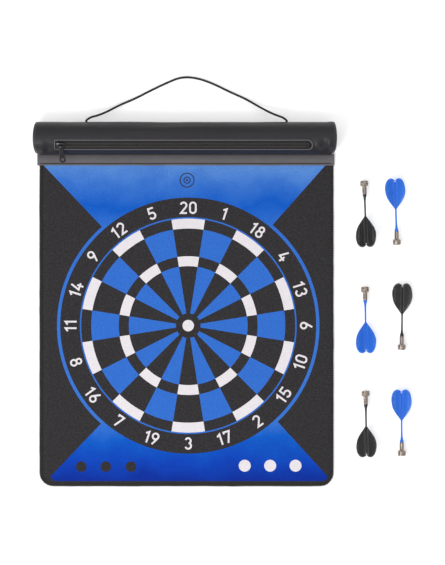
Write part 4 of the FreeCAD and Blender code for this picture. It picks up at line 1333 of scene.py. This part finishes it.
def vane(batch, turn):
    """One vane: a round rim, and inside it an open net of crossing bars."""
    out = Vector((cos(turn), sin(turn), 0))
    face = Vector((-sin(turn), cos(turn), 0))

    def spot(reach, height):
        return out * reach + Vector((0, 0, height))

    def inside(reach, height):
        return vane_floor(height) < reach < leaf_reach(height) - RIM_RADIUS

    heights = [FLIGHT_FROM + 0.02 + (DART_LONG - FLIGHT_FROM - 0.04) * sin(pi / 2 * part / 40) ** 1.15
               for part in range(41)]
    rim = [spot(leaf_reach(height) - RIM_RADIUS, height) for height in heights]
    tail = [spot(vane_floor(height), height) for height in heights[::-1] if height > DART_LONG - NOTCH_DEPTH]
    batch.tube(rim + tail, RIM_RADIUS, sides=8)
    for slant, thick in ((-1, 0.5), (1, 0.42)):
        for start in even(-60, 60, NET_PITCH):
            run = [(reach, 65 + start + slant * reach) for reach in even(0.8, FLIGHT_RADIUS, 0.35)]
            run = [point for point in run if inside(*point)]
            if len(run) > 2:
                bar(batch, spot(*run[0]), spot(*run[-1]), face, thick)


def dart_flight(name, material):
    """Shaft, collar and four vanes in the dart's own frame: its head's face at 0, its tail up +Z."""
    batch = Batch()
    batch.lathe(SHAFT_PROFILE, Matrix(), steps=28)
    for quarter in range(4):
        vane(batch, radians(45 + 90 * quarter))
    return new_mesh(name, batch.points, batch.faces, [material], crease_angle=45)


def darts():
    """Lays the six darts where their CAD magnets are. A head is a short drum and a bored barrel."""
    batch = Batch()
    batch.lathe(HEAD_PROFILE, Matrix(), steps=56)
    head = new_mesh("dart_head", batch.points, batch.faces, [DARK_NICKEL], crease_angle=38)
    flights = {"black": dart_flight("dart_flight_black", BLACK_PLASTIC),
               "blue": dart_flight("dart_flight_blue", BLUE_PLASTIC)}
    for name, (colour, side_lean, up) in DARTS.items():
        lie = turned(side_lean * up, "Z") @ turned(-DART_TILT * up, "X") @ turned(90 * up, "X")
        low, high = box_mm(name + "_magnet")
        middle = (low + high) / 2
        place = Matrix.Translation((middle - lie @ Vector((0, 0, MAGNET_MIDDLE))) * MM) @ lie
        for part, mesh, slot in (("head", head, "plated_steel"),
                                 ("flight", flights[colour], colour + "_plastic")):
            piece = add_object(f"{name}_{part}_shape", mesh)
            piece.matrix_world = place
            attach(piece, name)
            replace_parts(piece, f"{name}_{part}")


# ---------------------------------------------------------------- stage

HORIZON, ZENITH = 0.28, 1.0     # the studio is darker low down, which gives the metal its contrast
FLOOR_GLOW = 0.3                # a light table: hardly any shadow shows on it
FLOOR_REACH, FLOOR_Z = 6.0, -0.0005
CAMERA_HEIGHT = 12.0
VIEW_TALL = 0.7289              # metres of the surface from the picture's foot to its top
VIEW_MIDDLE = (0.0464, 0.0556, 0.0)


def area_light(name, place, aim, size, power):
    data = bpy.data.lights.new(name, "AREA")
    data.shape = "DISK"
    data.size = size
    data.energy = power
    light = add_object(name, data)
    light.location = place
    light.rotation_euler = (Vector(aim) - Vector(place)).to_track_quat("-Z", "Y").to_euler()


def pale_floor():
    surface = Surface("studio_floor", roughness=0.9, specular=0.1)
    surface.colour(linear(252, 252, 252))
    surface.tone(surface.noise(60, detail=2), 0.99, 1.0)
    surface.shader.inputs["Emission Color"].default_value = (1.0, 1.0, 1.0, 1.0)
    surface.shader.inputs["Emission Strength"].default_value = FLOOR_GLOW
    mesh = bpy.data.meshes.new("floor")
    corners = [(x * FLOOR_REACH, y * FLOOR_REACH, FLOOR_Z) for x, y in ((-1, -1), (1, -1), (1, 1), (-1, 1))]
    mesh.from_pydata(corners, [], [(0, 1, 2, 3)])
    mesh.materials.append(surface.material)
    add_object("floor", mesh)


def studio_sky():
    world = bpy.data.worlds.new("studio")
    world.use_nodes = True
    tree = world.node_tree
    split = tree.nodes.new("ShaderNodeSeparateXYZ")
    tree.links.new(tree.nodes.new("ShaderNodeTexCoord").outputs["Generated"], split.inputs["Vector"])
    ramp = tree.nodes.new("ShaderNodeValToRGB")
    elements = (ramp.color_ramp.elements[0], ramp.color_ramp.elements[1], ramp.color_ramp.elements.new(0.5))
    levels = ((0.0, HORIZON), (1.0, ZENITH), (0.45, 0.6 * HORIZON + 0.4 * ZENITH))
    for element, (height, level) in zip(elements, levels):
        element.position = height
        element.color = (level, level, level, 1)
    tree.links.new(split.outputs["Z"], ramp.inputs["Fac"])
    tree.links.new(ramp.outputs["Color"], tree.nodes["Background"].inputs["Color"])
    tree.nodes["Background"].inputs["Strength"].default_value = 1.0
    bpy.context.scene.world = world


def stage():
    """Pale floor, soft studio light, and a camera straight above with a long lens."""
    pale_floor()
    studio_sky()
    area_light("key", (-1.0, -1.1, 2.0), VIEW_MIDDLE, 1.0, 25)
    area_light("fill", (1.3, 1.5, 1.8), VIEW_MIDDLE, 1.4, 4)
    area_light("low_left", (-1.7, -0.3, 0.24), (0.2, 0.06, 0.0), 0.5, 5)
    data = bpy.data.cameras.new("camera")
    data.sensor_width = 36.0
    data.lens = data.sensor_width * CAMERA_HEIGHT / VIEW_TALL
    data.clip_end = 50.0
    camera = add_object("camera", data)
    camera.location = (VIEW_MIDDLE[0], VIEW_MIDDLE[1], CAMERA_HEIGHT)
    bpy.context.scene.camera = camera
    bpy.context.scene.view_settings.view_transform = "Standard"


stage()
printed_face()
back_felt()
edge_stitches()
strip_face("strip_front", "binding_strip_front", puff=0.6, relief=1)
strip_face("strip_back", "binding_strip_back", puff=0, relief=0)
strip_stitches()
cover()
end_disc("left", COVER_LOW.x, -1)
end_disc("right", COVER_HIGH.x, 1)
window_edge()
crease()
for row_name, side in (("upper", 1), ("lower", -1)):
    zip_tape(row_name, side)
    zip_coil(row_name, side)
slider_shape()
pull_shape()
carrying_cord()
cord_roots()
darts()
KEPT_NODES = {"mat_magnetic_sheet": RUBBER, "zipper_top_stops": LACQUER, "zipper_bottom_stop": LACQUER,
              "cord_knot_left": CORD, "cord_knot_right": CORD}
KEPT_NODES.update({name + "_magnet": MAGNET_NICKEL for name in DARTS})
for name, material in KEPT_NODES.items():
    NODES[name].data.materials.clear()
    NODES[name].data.materials.append(material)
